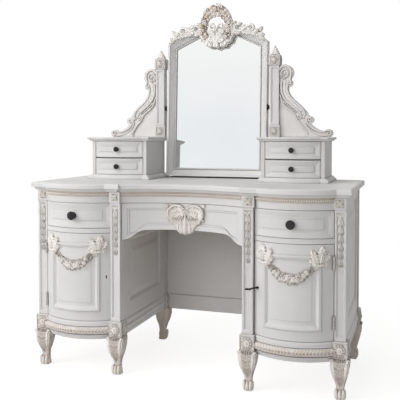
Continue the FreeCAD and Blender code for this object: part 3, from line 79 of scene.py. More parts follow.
def group(name, inputs, outputs):
    tree = bpy.data.node_groups.new(name, "ShaderNodeTree")
    for label, value in inputs.items():
        tree.interface.new_socket(label, in_out="INPUT", socket_type=FLOAT).default_value = value
    for label, kind in outputs.items():
        tree.interface.new_socket(label, in_out="OUTPUT", socket_type=kind)
    return tree, tree.nodes.new("NodeGroupInput"), tree.nodes.new("NodeGroupOutput")


def math_node(tree, operation, a, b, clamp=False):
    node = add(tree, "ShaderNodeMath", operation=operation, use_clamp=clamp)
    for socket, value in zip(node.inputs, (a, b)):
        if isinstance(value, float):
            socket.default_value = value
        else:
            link(tree, value, socket)
    return node.outputs[0]


def spread(tree, value, low, high, to_low=0.0, to_high=1.0):
    node = add(tree, "ShaderNodeMapRange", clamp=True)
    fill(node, **{"From Min": low, "From Max": high, "To Min": to_low, "To Max": to_high})
    link(tree, value, node.inputs["Value"])
    return node.outputs["Result"]


def noise(tree, vector, scale, detail=4.0, rough=0.55):
    node = fill(add(tree, "ShaderNodeTexNoise"), Scale=scale, Detail=detail, Roughness=rough)
    link(tree, vector, node.inputs["Vector"])
    return node.outputs["Fac"]


def stretched(tree, vector, scale):
    node = fill(add(tree, "ShaderNodeMapping"), Scale=scale)
    link(tree, vector, node.inputs["Vector"])
    return node.outputs["Vector"]


def both_tones(tree, first, first_share, second, second_share):
    return math_node(tree, "ADD", math_node(tree, "MULTIPLY", first, first_share),
                     math_node(tree, "MULTIPLY", second, second_share))


# Darkening mask for hollows and inner corners, from ambient occlusion: a rubbed wash together with painted
# shade on the paints, painted shade only on bare wood
def make_hollow_darkening():
    tree, inp, out = group("hollow_darkening", {"Depth": 0.01, "Amount": 1.0}, {"Mask": FLOAT})
    shade = add(tree, "ShaderNodeAmbientOcclusion", samples=12, only_local=False)
    link(tree, inp.outputs["Depth"], shade.inputs["Distance"])
    mottle = noise(tree, object_place(tree), 55.0, 3.0)
    hollow = spread(tree, shade.outputs["AO"], 0.92, 0.3)
    broken = math_node(tree, "MULTIPLY", hollow, spread(tree, mottle, 0.25, 0.7, 0.55, 1.15))
    link(tree, math_node(tree, "MULTIPLY", broken, inp.outputs["Amount"], True), out.inputs["Mask"])
    return tree


# Brush drag and slight cloudiness of hand-laid paint
def make_brush_marks():
    tree, inp, out = group("brush_marks", {"Fineness": 1.0}, {"Tone": FLOAT, "Height": FLOAT})
    fine = add(tree, "ShaderNodeVectorMath", operation="SCALE")
    link(tree, object_place(tree), fine.inputs[0])
    link(tree, inp.outputs["Fineness"], fine.inputs["Scale"])
    cloud = noise(tree, fine.outputs[0], 7.0, 5.0)
    drag = noise(tree, stretched(tree, fine.outputs[0], (260.0, 260.0, 9.0)), 1.0, 3.0)
    across = noise(tree, stretched(tree, fine.outputs[0], (8.0, 240.0, 240.0)), 1.0, 3.0)
    strokes = math_node(tree, "MULTIPLY", drag, across)
    link(tree, spread(tree, both_tones(tree, cloud, 0.75, strokes, 0.9), 0.35, 0.85), out.inputs["Tone"])
    link(tree, strokes, out.inputs["Height"])
    return tree


# Paint thinned along sharp arrises
def make_edge_rub():
    tree, inp, out = group("edge_rub", {"Reach": 0.003, "Amount": 1.0}, {"Mask": FLOAT, "Normal": VECTOR})
    soft = add(tree, "ShaderNodeBevel", samples=5)
    link(tree, inp.outputs["Reach"], soft.inputs["Radius"])
    dot = add(tree, "ShaderNodeVectorMath", operation="DOT_PRODUCT")
    link(tree, soft.outputs[0], dot.inputs[0])
    link(tree, add(tree, "ShaderNodeNewGeometry").outputs["Normal"], dot.inputs[1])
    patch = spread(tree, noise(tree, object_place(tree), 38.0, 5.0, 0.65), 0.42, 0.62)
    edge = spread(tree, dot.outputs["Value"], 0.985, 0.8)
    rubbed = math_node(tree, "MULTIPLY", edge, patch)
    link(tree, math_node(tree, "MULTIPLY", rubbed, inp.outputs["Amount"], True), out.inputs["Mask"])
    link(tree, soft.outputs[0], out.inputs["Normal"])
    return tree


HOLLOW_DARKENING = make_hollow_darkening()
BRUSH_MARKS = make_brush_marks()
EDGE_RUB = make_edge_rub()
RUB_REACH, WORN_EDGE = 0.0028, (0.46, 0.41, 0.36)
WOOD_SHADE = (0.1, 0.07, 0.045)
PAINT_MATT, PAINT_SHINE, PAINT_SPECULAR = 0.6, 0.42, 0.35


def use_group(tree, kind, **values):
    return fill(add(tree, "ShaderNodeGroup", node_tree=kind), **values)


def mixed(tree, factor, first, second):
    node = add(tree, "ShaderNodeMix", data_type="RGBA")
    link(tree, factor, node.inputs["Factor"])
    for socket, value in ((node.inputs[6], first), (node.inputs[7], second)):
        if isinstance(value, tuple):
            socket.default_value = (*value, 1.0)
        else:
            link(tree, value, socket)
    return node.outputs[2]


def finish_material(name):
    material = bpy.data.materials.new(name)
    material.use_nodes = True
    tree = material.node_tree
    return material, tree, tree.nodes["Principled BSDF"]


def bump(tree, height, strength, distance, normal=None):
    node = fill(add(tree, "ShaderNodeBump"), Strength=strength, Distance=distance)
    link(tree, height, node.inputs["Height"])
    if normal is not None:
        link(tree, normal, node.inputs["Normal"])
    return node.outputs["Normal"]


def paint(name, light, dark, wash_and_shade, depth, amount, rub, fineness=1.0, upper=None, gilt=None):
    # Old furniture paint: brushed tone, a wash together with painted shade in the hollows, rubbed arrises.
    material, tree, shader = finish_material(name)
    marks = use_group(tree, BRUSH_MARKS, Fineness=fineness)
    hollow = use_group(tree, HOLLOW_DARKENING, Depth=depth, Amount=amount)
    edges = use_group(tree, EDGE_RUB, Reach=RUB_REACH, Amount=rub)
    tone = marks.outputs["Tone"]
    colour = mixed(tree, tone, dark, light)
    if upper:
        # Plain paint on the block above the carved part.
        height, plain = upper
        level = apart(tree, object_place(tree))["Z"]
        colour = mixed(tree, spread(tree, level, height - MM, height + MM), colour, plain)
    if gilt:
        # Worn gold that has stayed in patches, most on the left.
        coord = object_place(tree)
        patch = spread(tree, noise(tree, coord, 34.0, 3.0), 0.42, 0.62)
        left = spread(tree, apart(tree, coord)["X"], 0.05, -0.05, 0.25, 0.8)
        colour = mixed(tree, math_node(tree, "MULTIPLY", patch, left), colour, gilt)
    # Wash together with painted shade in the hollows.
    colour = mixed(tree, hollow.outputs["Mask"], colour, wash_and_shade)
    colour = mixed(tree, edges.outputs["Mask"], colour, WORN_EDGE)
    link(tree, colour, shader.inputs["Base Color"])
    link(tree, spread(tree, tone, 0.0, 1.0, PAINT_MATT, PAINT_SHINE), shader.inputs["Roughness"])
    normal = bump(tree, marks.outputs["Height"], 0.13, 0.0007, edges.outputs["Normal"])
    link(tree, normal, shader.inputs["Normal"])
    shader.inputs["Specular IOR Level"].default_value = PAINT_SPECULAR
    return material


def wood(name, light, dark):
    # Unpainted secondary timber with long grain and faint rings.
    material, tree, shader = finish_material(name)
    coord = object_place(tree)
    fibre = noise(tree, stretched(tree, coord, (160.0, 7.0, 160.0)), 1.0, 6.0, 0.6)
    rings = noise(tree, stretched(tree, coord, (22.0, 1.6, 22.0)), 1.0, 3.0)
    tone = both_tones(tree, fibre, 0.55, rings, 0.5)
    colour = mixed(tree, spread(tree, tone, 0.34, 0.72), dark, light)
    # Painted shade in the hollows of the bare wood.
    hollow = use_group(tree, HOLLOW_DARKENING, Depth=0.03, Amount=0.5)
    link(tree, mixed(tree, hollow.outputs["Mask"], colour, WOOD_SHADE), shader.inputs["Base Color"])
    link(tree, spread(tree, fibre, 0.3, 0.7, 0.5, 0.68), shader.inputs["Roughness"])
    link(tree, bump(tree, fibre, 0.25, 0.0006), shader.inputs["Normal"])
    return material


def metal(name, light, dark, metallic, low, high):
    material, tree, shader = finish_material(name)
    coord = object_place(tree)
    cloud = noise(tree, coord, 140.0, 4.0)
    hollow = use_group(tree, HOLLOW_DARKENING, Depth=0.004, Amount=0.7)
    colour = mixed(tree, spread(tree, cloud, 0.35, 0.7), dark, light)
    colour = mixed(tree, hollow.outputs["Mask"], colour, tuple(0.4 * value for value in dark))
    link(tree, colour, shader.inputs["Base Color"])
    link(tree, spread(tree, cloud, 0.3, 0.7, low, high), shader.inputs["Roughness"])
    link(tree, bump(tree, noise(tree, coord, 420.0, 3.0), 0.12, 0.0004), shader.inputs["Normal"])
    shader.inputs["Metallic"].default_value = metallic
    return material


def silvered_glass():
    # Cloudy old silvering, with a painted reflection that makes the glass paler towards the top.
    material, tree, shader = finish_material("silvered_glass")
    coord = object_place(tree)
    cloud = spread(tree, noise(tree, coord, 3.0, 4.0), 0.3, 0.7)
    tarnish = mixed(tree, cloud, (0.79, 0.82, 0.845), (0.84, 0.86, 0.875))
    # Painted reflection: the glass turns paler from 1.05 m up to 1.36 m.
    height = spread(tree, apart(tree, coord)["Z"], 1.05, 1.36)
    link(tree, mixed(tree, height, tarnish, (0.895, 0.905, 0.9)), shader.inputs["Base Color"])
    wear = spread(tree, noise(tree, coord, 26.0, 5.0), 0.35, 0.8, 0.008, 0.03)
    link(tree, wear, shader.inputs["Roughness"])
    shader.inputs["Metallic"].default_value = 1.0
    return material


# Each paint has its light and dark tone and its colour for the wash and painted shade in the hollows, then
# that mask's depth and strength and the rubbing
grey_paint = paint(
    "grey_white_paint", (0.755, 0.748, 0.742), (0.7, 0.69, 0.68), (0.34, 0.315, 0.295),
    depth=0.007, amount=0.72, rub=0.3)
frame_paint = paint(
    "mirror_frame_paint", (0.8, 0.793, 0.787), (0.755, 0.746, 0.738), (0.36, 0.335, 0.315),
    depth=0.006, amount=0.6, rub=0.2)
ivory_paint = paint(
    "ivory_carving_paint", (0.9, 0.878, 0.85), (0.83, 0.795, 0.76), (0.38, 0.305, 0.25),
    depth=0.006, amount=0.8, rub=0.12, fineness=2.0)
wreath_paint = paint(
    "golden_wreath_paint", (0.9, 0.87, 0.835), (0.83, 0.78, 0.73), (0.29, 0.215, 0.165),
    depth=0.006, amount=0.85, rub=0.12, fineness=3.0, gilt=(0.72, 0.53, 0.34))
garland_paint = paint(
    "garland_paint", (0.93, 0.9, 0.87), (0.86, 0.82, 0.78), (0.33, 0.245, 0.2),
    depth=0.0052, amount=0.8, rub=0.1, fineness=3.0)
flower_paint = paint(
    "block_flower_paint", (0.9, 0.87, 0.83), (0.8, 0.75, 0.7), (0.25, 0.18, 0.14),
    depth=0.009, amount=1.0, rub=0.1, fineness=3.0)
husk_paint = paint(
    "husk_paint", (0.92, 0.905, 0.88), (0.86, 0.83, 0.8), (0.46, 0.385, 0.325),
    depth=0.005, amount=0.7, rub=0.1, fineness=2.0)
leg_paint = paint(
    "leg_paint", (0.83, 0.79, 0.745), (0.73, 0.675, 0.62), (0.32, 0.245, 0.195),
    depth=0.007, amount=0.9, rub=0.2, fineness=2.0, upper=(0.1535, (0.79, 0.78, 0.77)))
leaf_paint = paint(
    "cream_leaf_paint", (0.94, 0.905, 0.86), (0.86, 0.81, 0.755), (0.34, 0.255, 0.2),
    depth=0.0045, amount=0.85, rub=0.1, fineness=2.0)
back_leaf_paint = paint(
    "tan_leaf_paint", (0.9, 0.83, 0.755), (0.8, 0.715, 0.63), (0.3, 0.22, 0.165),
    depth=0.006, amount=0.9, rub=0.1, fineness=2.0)
band_paint = paint(
    "laurel_band_paint", (0.86, 0.81, 0.765), (0.75, 0.685, 0.62), (0.29, 0.21, 0.165),
    depth=0.005, amount=1.0, rub=0.1, fineness=3.0)
scroll_paint = paint(
    "scroll_paint", (0.82, 0.805, 0.79), (0.755, 0.735, 0.715), (0.34, 0.3, 0.27),
    depth=0.007, amount=0.85, rub=0.15, fineness=1.5)
tan_ground = paint(
    "tan_bead_ground", (0.66, 0.6, 0.545), (0.57, 0.505, 0.445), (0.33, 0.26, 0.205),
    depth=0.008, amount=0.6, rub=0.2, fineness=2.0)
# Black paint for the painted shadow under the mirror.
shadow_black = paint(
    "painted_shadow_strip", (0.03, 0.028, 0.028), (0.018, 0.017, 0.017), (0.01, 0.009, 0.009),
    depth=0.01, amount=0.8, rub=0.0)
pine = wood("drawer_pine", (0.5, 0.35, 0.215), (0.33, 0.21, 0.115))
black_iron = metal("black_iron", (0.022, 0.021, 0.024), (0.012, 0.011, 0.013), 0.25, 0.3, 0.48)
dark_iron = metal("dark_key_iron", (0.05, 0.04, 0.038), (0.022, 0.018, 0.017), 0.6, 0.36, 0.55)
aged_brass = metal("aged_brass", (0.42, 0.32, 0.16), (0.24, 0.17, 0.08), 0.9, 0.3, 0.5)
worn_steel = metal("worn_steel", (0.62, 0.61, 0.6), (0.36, 0.345, 0.33), 0.75, 0.3, 0.5)


def dress(name, material):
    mesh = nodes[name].data
    mesh.materials.clear()
    mesh.materials.append(material)


# Grey paint, and other finishes by the ending of a piece's name
for name in nodes:
    dress(name, grey_paint)
for material, endings in (
        (ivory_paint, ("drops", "rosettes", "finials", "crest", "cartouche", "garland")),
        (pine, ("drawer_box", "shelves", "floors", "runners", "back_board")), (black_iron, ("knob",)),
        (aged_brass, ("strikes", "door_lock", "bolt")), (worn_steel, ("leaves",)),
        (dark_iron, ("key", "pivots")), (leg_paint, ("legs",)), (scroll_paint, ("brackets",)),
        (frame_paint, ("mirror_frame",)), (tan_ground, ("pearl_strips",)), (silvered_glass(), ("glass",))):
    for name in nodes:
        if name.endswith(endings):
            dress(name, material)


# Places shared with the wooden parts, in millimetres
INNER_X, OUTER_X, PED_X = 275, 619, 447
FRONT, BACK, OUTER_SETBACK = -249, 297, 18
BOW_RADIUS, BOW_Y = 231.58, -54.42
HOLLOW_RADIUS, HOLLOW_Y = 521.76, -691.76
TOP_UNDER, TABLE_TOP, CAP_TOP = 746, 778, 966
BLOCK_HALF, BLOCK_PROUD, BLOCK_Z = 28, 7, 186
POST_X, POST_Y, POST_TOP = 272.5, 252, 1331
PIVOT_Z, MIRROR_LEAN = 1100, 2.7
CASKET_X, CASKET_RADIUS, CASKET_Y = 392, 258.45, 271.45
BAND_Z, BAND_ROUND = 180, 16
UPRIGHT = Matrix.Rotation(math.radians(90), 4, "X")
BOTH = (-1, 1)
chance = random.Random(7)
vary = chance.uniform


def turn(degrees, axis="Z"):
    return Matrix.Rotation(math.radians(degrees), 4, axis)


def shift(x, y, z=0, degrees=0):
    # Moved into place after a turn about Z.
    return Matrix.Translation((x, y, z)) @ turn(degrees)


def stretch(x, y, z=1):
    return Matrix.Diagonal((x, y, z, 1))


def facing(x, y, z):
    # Carving drawn flat, X right, Y up and Z out, set on a face that looks forward.
    return shift(x, y, z) @ UPRIGHT


def sideways(x, y, z, side):
    # The same on a face that looks left or right.
    return shift(x, y, z, 90 * side) @ UPRIGHT


def only(items, kind):
    return [item for item in items if isinstance(item, kind)]


def join(bm, small):
    # Adds one finished bit to a carving.
    mesh = bpy.data.meshes.new("bit")
    small.to_mesh(mesh)
    small.free()
    bm.from_mesh(mesh)
    bpy.data.meshes.remove(mesh)


LEAF_STALK, LEAF_TIP, LEAF_BODY = 0.22, 0.06, 0.25
RIB_NARROW, EDGE_RIPPLE, EDGE_FALL = 2.6, 1.3, 0.8


def leaf_width(along, full):
    first = 1.1 * full
    second = 1.1 * (1 - full)
    peak = full ** first * (1 - full) ** second
    return max(along, 0) ** first * max(1 - along, 0) ** second / peak


def leaf(bm, place, length, width, rise, full=0.4, curl=0, scallops=0, rib=0.45, sink=1.5, rows=7,
         columns=6, notch=0.17):
    # Grid drawn out to a leaf with a grooved middle, or a ridge if rib is negative, and a plain back.
    small = bmesh.new()
    low = bmesh.ops.create_grid(small, x_segments=columns, y_segments=rows, size=0.5)["verts"]
    high = only(bmesh.ops.extrude_face_region(small, geom=small.faces[:])["geom"], BMVert)
    for verts, top in ((low, False), (high, True)):
        for vert in verts:
            across = vert.co.x * 2
            along = vert.co.y + 0.5
            wave = math.cos(2 * math.pi * scallops * along) if scallops else 0
            half = width / 2 * max(leaf_width(along, full), LEAF_STALK * (1 - along), LEAF_TIP)
            lift = rise * (1 - EDGE_FALL * across * across) * (0.5 + 0.5 * math.sin(math.pi * along))
            lift -= rib * rise * max(0, 1 - abs(across) * RIB_NARROW)
            lift += EDGE_RIPPLE * notch * rise * wave * abs(across) + LEAF_BODY * rise
            bend = curl * along * along
            vert.co.x = across * half * (1 + notch * wave)
            vert.co.y = along * length
            vert.co.z = (lift if top else -sink) + bend
    bmesh.ops.transform(small, matrix=place, verts=small.verts)
    join(bm, small)


def leaves(bm, place, table, **kind):
    # Leaves of one kind; each row of the table has x, y, out, angle, length and width.
    for x, y, out, angle, length, width in table:
        leaf(bm, place @ shift(x, y, out, angle), length, width, **kind)


def bead(bm, place, radius, flat=0.75, around=10, rings=6):
    small = bmesh.new()
    bmesh.ops.create_uvsphere(small, u_segments=around, v_segments=rings, radius=1,
                              matrix=place @ stretch(radius, radius, radius * flat))
    join(bm, small)


def berry(bm, place, radius, flat=1):
    bead(bm, place, radius, flat, 7, 5)


def lobe(bm, place, wide, deep, tall):
    bead(bm, place @ stretch(wide, deep, tall), 1, 1, 12, 8)


PETAL = dict(full=0.68, rib=0.4, sink=1, rows=4, columns=4)
DAISY_PETAL = dict(full=0.7, rib=0.5, sink=2, rows=4, columns=4)


def blossom(bm, place, radius, petals, rise, heart=0.3):
    width = 2.1 * radius * math.tan(math.pi / petals)
    for number in range(petals):
        leaf(bm, place @ turn(360 * number / petals), radius, width, rise, curl=0.12 * rise, **PETAL)
    bead(bm, place @ shift(0, 0, rise * 0.8), radius * heart, 0.8, 8, 5)


def rose(bm, place, radius, rise):
    # Open bloom: a ring of petals, a tighter ring above it and a bud.
    blossom(bm, place, radius, 5, rise * 0.6, 0.2)
    blossom(bm, place @ shift(0, 0, rise * 0.45, 36), radius * 0.62, 5, rise * 0.55, 0.42)


def daisy(bm, place, radius, petals, rise):
    # Narrow separate petals round a raised heart.
    width = 1.35 * radius * math.pi / petals
    for number in range(petals):
        leaf(bm, place @ turn(360 * number / petals), radius, width, rise, curl=0.2 * rise, **DAISY_PETAL)
    bead(bm, place @ shift(0, 0, rise * 0.7), radius * 0.34, 0.9, 8, 5)


def sweep(bm, place, points, radii, flat=0.7, smooth=3):
    # Rounded bar along a smooth line, drawn as a curve and then made a mesh.
    line = bpy.data.curves.new("line", "CURVE")
    line.dimensions = "3D"
    line.bevel_depth = 1
    line.bevel_resolution = 1
    line.use_fill_caps = True
    line.resolution_u = smooth
    spline = line.splines.new("NURBS")
    spline.points.add(len(points) - 1)
    for knot, point, radius in zip(spline.points, points, radii):
        knot.co = (*point, 0, 1)
        knot.radius = radius
    spline.order_u = 4
    spline.use_endpoint_u = True
    holder = bpy.data.objects.new("line", line)
    mesh = bpy.data.meshes.new_from_object(holder)
    bar = bmesh.new()
    bar.from_mesh(mesh)
    bmesh.ops.remove_doubles(bar, verts=bar.verts, dist=0.01)
    bmesh.ops.transform(bar, matrix=place @ stretch(1, 1, flat), verts=bar.verts)
    join(bm, bar)
    bpy.data.objects.remove(holder)
    bpy.data.curves.remove(line)
    bpy.data.meshes.remove(mesh)


def volute(x, y, radius, start, turns, hand, steps=8):
    # Points of a spiral from its outer end to its eye.
    points = []
    count = int(steps * turns) + 1
    for number in range(count):
        share = number / (count - 1)
        angle = math.radians(start) + hand * 2 * math.pi * turns * share
        reach = radius * (1 - 0.84 * share)
        points.append((x + reach * math.cos(angle), y + reach * math.sin(angle)))
    return points


def falling(count, first, last):
    return [first + (last - first) * number / max(count - 1, 1) for number in range(count)]


def mirrored(bm, axis="X", place=Matrix.Identity(4)):
    bmesh.ops.mirror(bm, geom=bm.verts[:] + bm.edges[:] + bm.faces[:], matrix=place, axis=axis, merge_dist=-1)


def piece(name, bm, material, slot, body, *stands_for, sharp=48):
    bmesh.ops.recalc_face_normals(bm, faces=bm.faces)
    bmesh.ops.scale(bm, vec=(MM, MM, MM), verts=bm.verts)
    mesh = bpy.data.meshes.new(name)
    bm.to_mesh(mesh)
    bm.free()
    mesh.shade_smooth()
    mesh.set_sharp_from_angle(angle=math.radians(sharp))
    mesh.materials.append(material)
    made = bpy.data.objects.new(name, mesh)
    scene.collection.objects.link(made)
    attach(made, body)
    if stands_for:
        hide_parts(*stands_for)


def carving(name, bm, finish, body, *stands_for):
    piece(name, bm, finish, "carved_wood", body, *stands_for)


def onto_bow(bm, centre, radius=BOW_RADIUS, depth=BOW_Y):
    # Carving drawn flat, with Y as its height, laid round a bowed front.
    for vert in bm.verts:
        x, y, z = vert.co
        angle = math.asin(max(-0.98, min(0.98, x / radius)))
        reach = radius + z
        vert.co = (centre + reach * math.sin(angle), depth - reach * math.cos(angle), y)


def onto_hollow(bm):
    # Carving drawn flat, with Y as its height, laid into the hollow centre front.
    for vert in bm.verts:
        x, y, z = vert.co
        angle = x / HOLLOW_RADIUS
        reach = HOLLOW_RADIUS - z
        vert.co = (reach * math.sin(angle), HOLLOW_Y + reach * math.cos(angle), y)


def along_line(points, share):
    # Place and direction at a share of a line of points.
    place = min(max(share, 0), 1) * (len(points) - 1)
    number = min(int(place), len(points) - 2)
    first = Vector(points[number])
    way = Vector(points[number + 1]) - first
    spot = first + way * (place - number)
    return spot.x, spot.y, math.degrees(math.atan2(way.y, way.x))


def ring(bm, place, radius, tube, flat=1, steps=20):
    # Closed round loop, spun from its section.
    small = bmesh.new()
    seat = shift(radius, 0) @ turn(90, "X")
    section = bmesh.ops.create_circle(small, segments=8, radius=tube, matrix=seat)["verts"]
    edges = list({edge for vert in section for edge in vert.link_edges})
    bmesh.ops.spin(small, geom=edges, cent=(0, 0, 0), axis=(0, 0, 1), angle=2 * math.pi, steps=steps,
                   use_merge=True)
    bmesh.ops.transform(small, matrix=place @ stretch(1, 1, flat), verts=small.verts)
    join(bm, small)


def raised_front(bm, height):
    # Draws a flat outline out to a block and gives the block's front.
    made = bmesh.ops.extrude_face_region(bm, geom=bm.faces[:])["geom"]
    bmesh.ops.translate(bm, vec=(0, 0, height), verts=only(made, BMVert))
    return only(made, BMFace)


def step_in(bm, field, inward, lift):
    bmesh.ops.inset_region(bm, faces=field, thickness=inward, depth=0, use_even_offset=True)
    bmesh.ops.translate(bm, vec=(0, 0, lift), verts=list({vert for face in field for vert in face.verts}))


# Pearls under the table's edge
PEARL_RADIUS, PEARL_PITCH, PEARL_DROP, PEARL_PROUD = 3.9, 8.6, 10.5, 4.6


def pearl_run(bm, centre, reach, half, middle):
    # One pearl turned about the front's centre into a row of them.
    span = 2 * math.asin(half / reach)
    angle = middle - span / 2
    level = TOP_UNDER - PEARL_DROP
    spot = shift(centre[0] + reach * math.cos(angle), centre[1] + reach * math.sin(angle), level)
    made = bmesh.ops.create_uvsphere(bm, u_segments=8, v_segments=5, radius=PEARL_RADIUS, matrix=spot)["verts"]
    edges = list({edge for vert in made for edge in vert.link_edges})
    faces = list({face for vert in made for face in vert.link_faces})
    bmesh.ops.spin(bm, geom=list(made) + edges + faces, cent=(*centre, level), axis=(0, 0, 1), angle=span,
                   steps=int(span * reach / PEARL_PITCH), use_duplicate=True)


def pearl_rows():
    bm = bmesh.new()
    for centre in (-PED_X, PED_X):
        pearl_run(bm, (centre, BOW_Y), BOW_RADIUS + PEARL_PROUD, 149, -math.pi / 2)
    pearl_run(bm, (0, HOLLOW_Y), HOLLOW_RADIUS - PEARL_PROUD, 250, math.pi / 2)
    carving("pearl_rows", bm, ivory_paint, "carcass")


# Flowers on the blocks of the posts and legs
CORNER_LEAF = dict(rise=5, full=0.55, curl=0.6, scallops=3, rib=0.5, sink=0.6, rows=9)
BETWEEN_LEAF = dict(rise=3.4, full=0.5, rib=0.5, sink=0.6, rows=4, columns=4)
BLOCK_PETAL = dict(full=0.8, curl=1, rib=0.7, sink=0.8)
LEG_BLOCK = dict(half=26.4, bar=1.5, proud=2.6, size=22, petals=10, rise=5)
POST_BLOCK = dict(half=18, bar=1.6, proud=2.2, size=14.5, petals=8, rise=4.2)


def square_flower(bm, place, size):
    for number in range(4):
        leaf(bm, place @ turn(45 + 90 * number), size * 1.22, size * 0.9, **CORNER_LEAF)
        leaf(bm, place @ turn(90 * number), size * 0.9, size * 0.5, **BETWEEN_LEAF)
    blossom(bm, place @ shift(0, 0, 2.4), size * 0.42, 6, 2.4, 0.36)


def framed_flower(bm, place, half, bar, proud, size, petals, rise):
    # Tall oval flower inside a square border.
    for number in range(4):
        edge = [(-half, half), (-half / 3, half), (half / 3, half), (half, half)]
        sweep(bm, place @ turn(90 * number), edge, [bar] * 4, proud / bar, 1)
    oval = place @ stretch(0.96, 1.16)
    width = 1.72 * size * math.pi / petals
    for number in range(petals):
        leaf(bm, oval @ turn(360 * number / petals), size, width, rise, **BLOCK_PETAL)
    blossom(bm, oval @ shift(0, 0, rise * 0.7, 22), size * 0.58, 6, rise * 0.7, 0.36)


def block_flowers():
    bm = bmesh.new()
    for x, y, side in ((INNER_X, FRONT, 1), (OUTER_X, FRONT + OUTER_SETBACK, -1)):
        square_flower(bm, facing(x + side * 2.5, y - 3, TOP_UNDER - 22.5), 14.5)
        front = y - BLOCK_PROUD
        framed_flower(bm, facing(x, front, BLOCK_Z), **LEG_BLOCK)
        framed_flower(bm, sideways(x - side * BLOCK_HALF, front + BLOCK_HALF, BLOCK_Z, -side), **LEG_BLOCK)
    for x, side in ((INNER_X, -1), (OUTER_X, 1)):
        middle = BACK + BLOCK_PROUD - BLOCK_HALF
        framed_flower(bm, sideways(x + side * BLOCK_HALF, middle, BLOCK_Z, side), **LEG_BLOCK)
    front, high = POST_Y - 22, POST_TOP - 23
    for place in (facing(POST_X, front, CAP_TOP + 27.5), facing(POST_X, front, high),
                  sideways(POST_X + 25, POST_Y, high, 1)):
        framed_flower(bm, place, **POST_BLOCK)
    mirrored(bm)
    carving("block_flowers", bm, flower_paint, "carcass", "carved_rosettes")


# Hanging husks in the flutes of the front posts
HUSK_COUNT, HUSK_PITCH, HUSK_DROP = 6, 32, 61


def hanging_husks():
    bm = bmesh.new()
    top = TOP_UNDER - HUSK_DROP
    for x, y in ((INNER_X, FRONT), (OUTER_X, FRONT + OUTER_SETBACK)):
        face = y + 5
        for side in BOTH:
            leaf(bm, facing(x, face, top - 10) @ turn(-58 * side), 17, 10, 5, full=0.6, curl=1.5)
        bead(bm, facing(x, face - 3, top - 9), 4.6)
        for number in range(HUSK_COUNT):
            size = 1 - 0.075 * number
            z = top - 12 - HUSK_PITCH * number
            for side in BOTH:
                way = facing(x, face, z) @ turn(180 + 17 * side)
                leaf(bm, way, 34 * size, 10.5 * size, 5.5, full=0.5, curl=2.5)
            way = facing(x, face - 1.5, z) @ turn(180)
            leaf(bm, way, 37 * size, 9 * size, 5.5, full=0.45, curl=2)
            bead(bm, facing(x, face - 5, z - 1), 3.4 * size)
    mirrored(bm)
    carving("hanging_husks", bm, husk_paint, "carcass", "husk_drops")


# Swags of flowers hung from ribbon knots on the doors
KNOT_X, KNOT_Z = 96, 499
KNOT_LEAF = dict(rise=5, curl=1, rib=0.6, sink=9, rows=24, notch=0.2)
SWAG_HALF, SWAG_Z, SWAG_DROP, SWAG_COUNT = 82, 496, 50, 15
SWAG_LEAF = dict(rise=5, full=0.45, curl=1.5, scallops=2, rib=0.55, sink=4, rows=6, columns=4)


def ribbon_knot(bm, place, side):
    # Feathered leaves that stand side by side, with a ribbon end that leads into the swag.
    for x, y, out, angle, length, width, full, scallops in (
            (6, 2, 1, -8, 69, 29, 0.45, 6), (-3, 3, 3, 19, 58, 23, 0.48, 5),
            (10, 3, 0, -34, 50, 20, 0.5, 4), (7, 4, 5, -10, 46, 12, 0.5, 4),
            (-4, 2, 1, 47, 38, 17, 0.5, 3), (11, 0, 1, -64, 27, 14, 0.5, 2),
            (2, 6, 5, 106, 24, 14, 0.5, 2), (4, 4, 3, 140, 24, 13, 0.5, 2)):
        leaf(bm, place @ shift(x * side, y, out, angle * side), length, width, full=full,
             scallops=scallops, **KNOT_LEAF)
    tail = [(16 * side, 8), (8 * side, -2), (-4 * side, 0), (-12 * side, 8)]
    sweep(bm, place @ shift(0, 0, 7), tail, [3, 5, 5, 3], 0.9)


def swag_spot(share):
    return SWAG_HALF * share, SWAG_Z - SWAG_DROP * (1 - share * share)


def flower_swag(name, centre, body, node):
    bm = bmesh.new()
    for side in BOTH:
        ribbon_knot(bm, shift(KNOT_X * side, KNOT_Z, 4), side)
    for number in range(SWAG_COUNT):
        share = 2 * number / (SWAG_COUNT - 1) - 1
        x, y = swag_spot(share)
        ahead = swag_spot(share + 0.02)
        slope = math.degrees(math.atan2(ahead[1] - y, ahead[0] - x))
        thick = 7.5 + 9 * (1 - share * share)
        run = shift(x, y, 1, slope)
        way = math.copysign(1, share)
        for edge in BOTH:
            for lean in (-40, 14):
                angle = (90 + lean * way) * edge - 90
                leaf(bm, run @ shift(0, 0, -1, angle + vary(-16, 16)),
                     thick * vary(1.15, 1.6), thick * 0.62, **SWAG_LEAF)
        lift = (0.12 + vary(-0.25, 0.25)) * thick
        kind = (number * 7) % 3
        if kind == 0:
            rose(bm, run @ shift(0, lift, 3, vary(0, 70)), thick * 0.84, 9)
        elif kind == 1:
            seat = run @ shift(0, lift + 0.3 * thick, 4, vary(0, 40))
            daisy(bm, seat, thick * 0.74, 7, 5)
            seat = run @ shift(2, lift - 0.55 * thick, 3, vary(0, 70))
            blossom(bm, seat, thick * 0.5, 5, 5, 0.34)
        else:
            seat = run @ shift(0, lift - 0.2 * thick, 4, vary(0, 70))
            blossom(bm, seat, thick * 0.68, 5, 6)
            seat = run @ shift(-2, lift + 0.6 * thick, 3, vary(0, 40))
            daisy(bm, seat, thick * 0.48, 6, 4)
        berry(bm, run @ shift(vary(-5, 5), thick * 0.85, 3), 3.2)
        berry(bm, run @ shift(vary(-5, 5), -thick * 0.9, 3), 3)
    onto_bow(bm, centre)
    carving(name, bm, garland_paint, body, node)


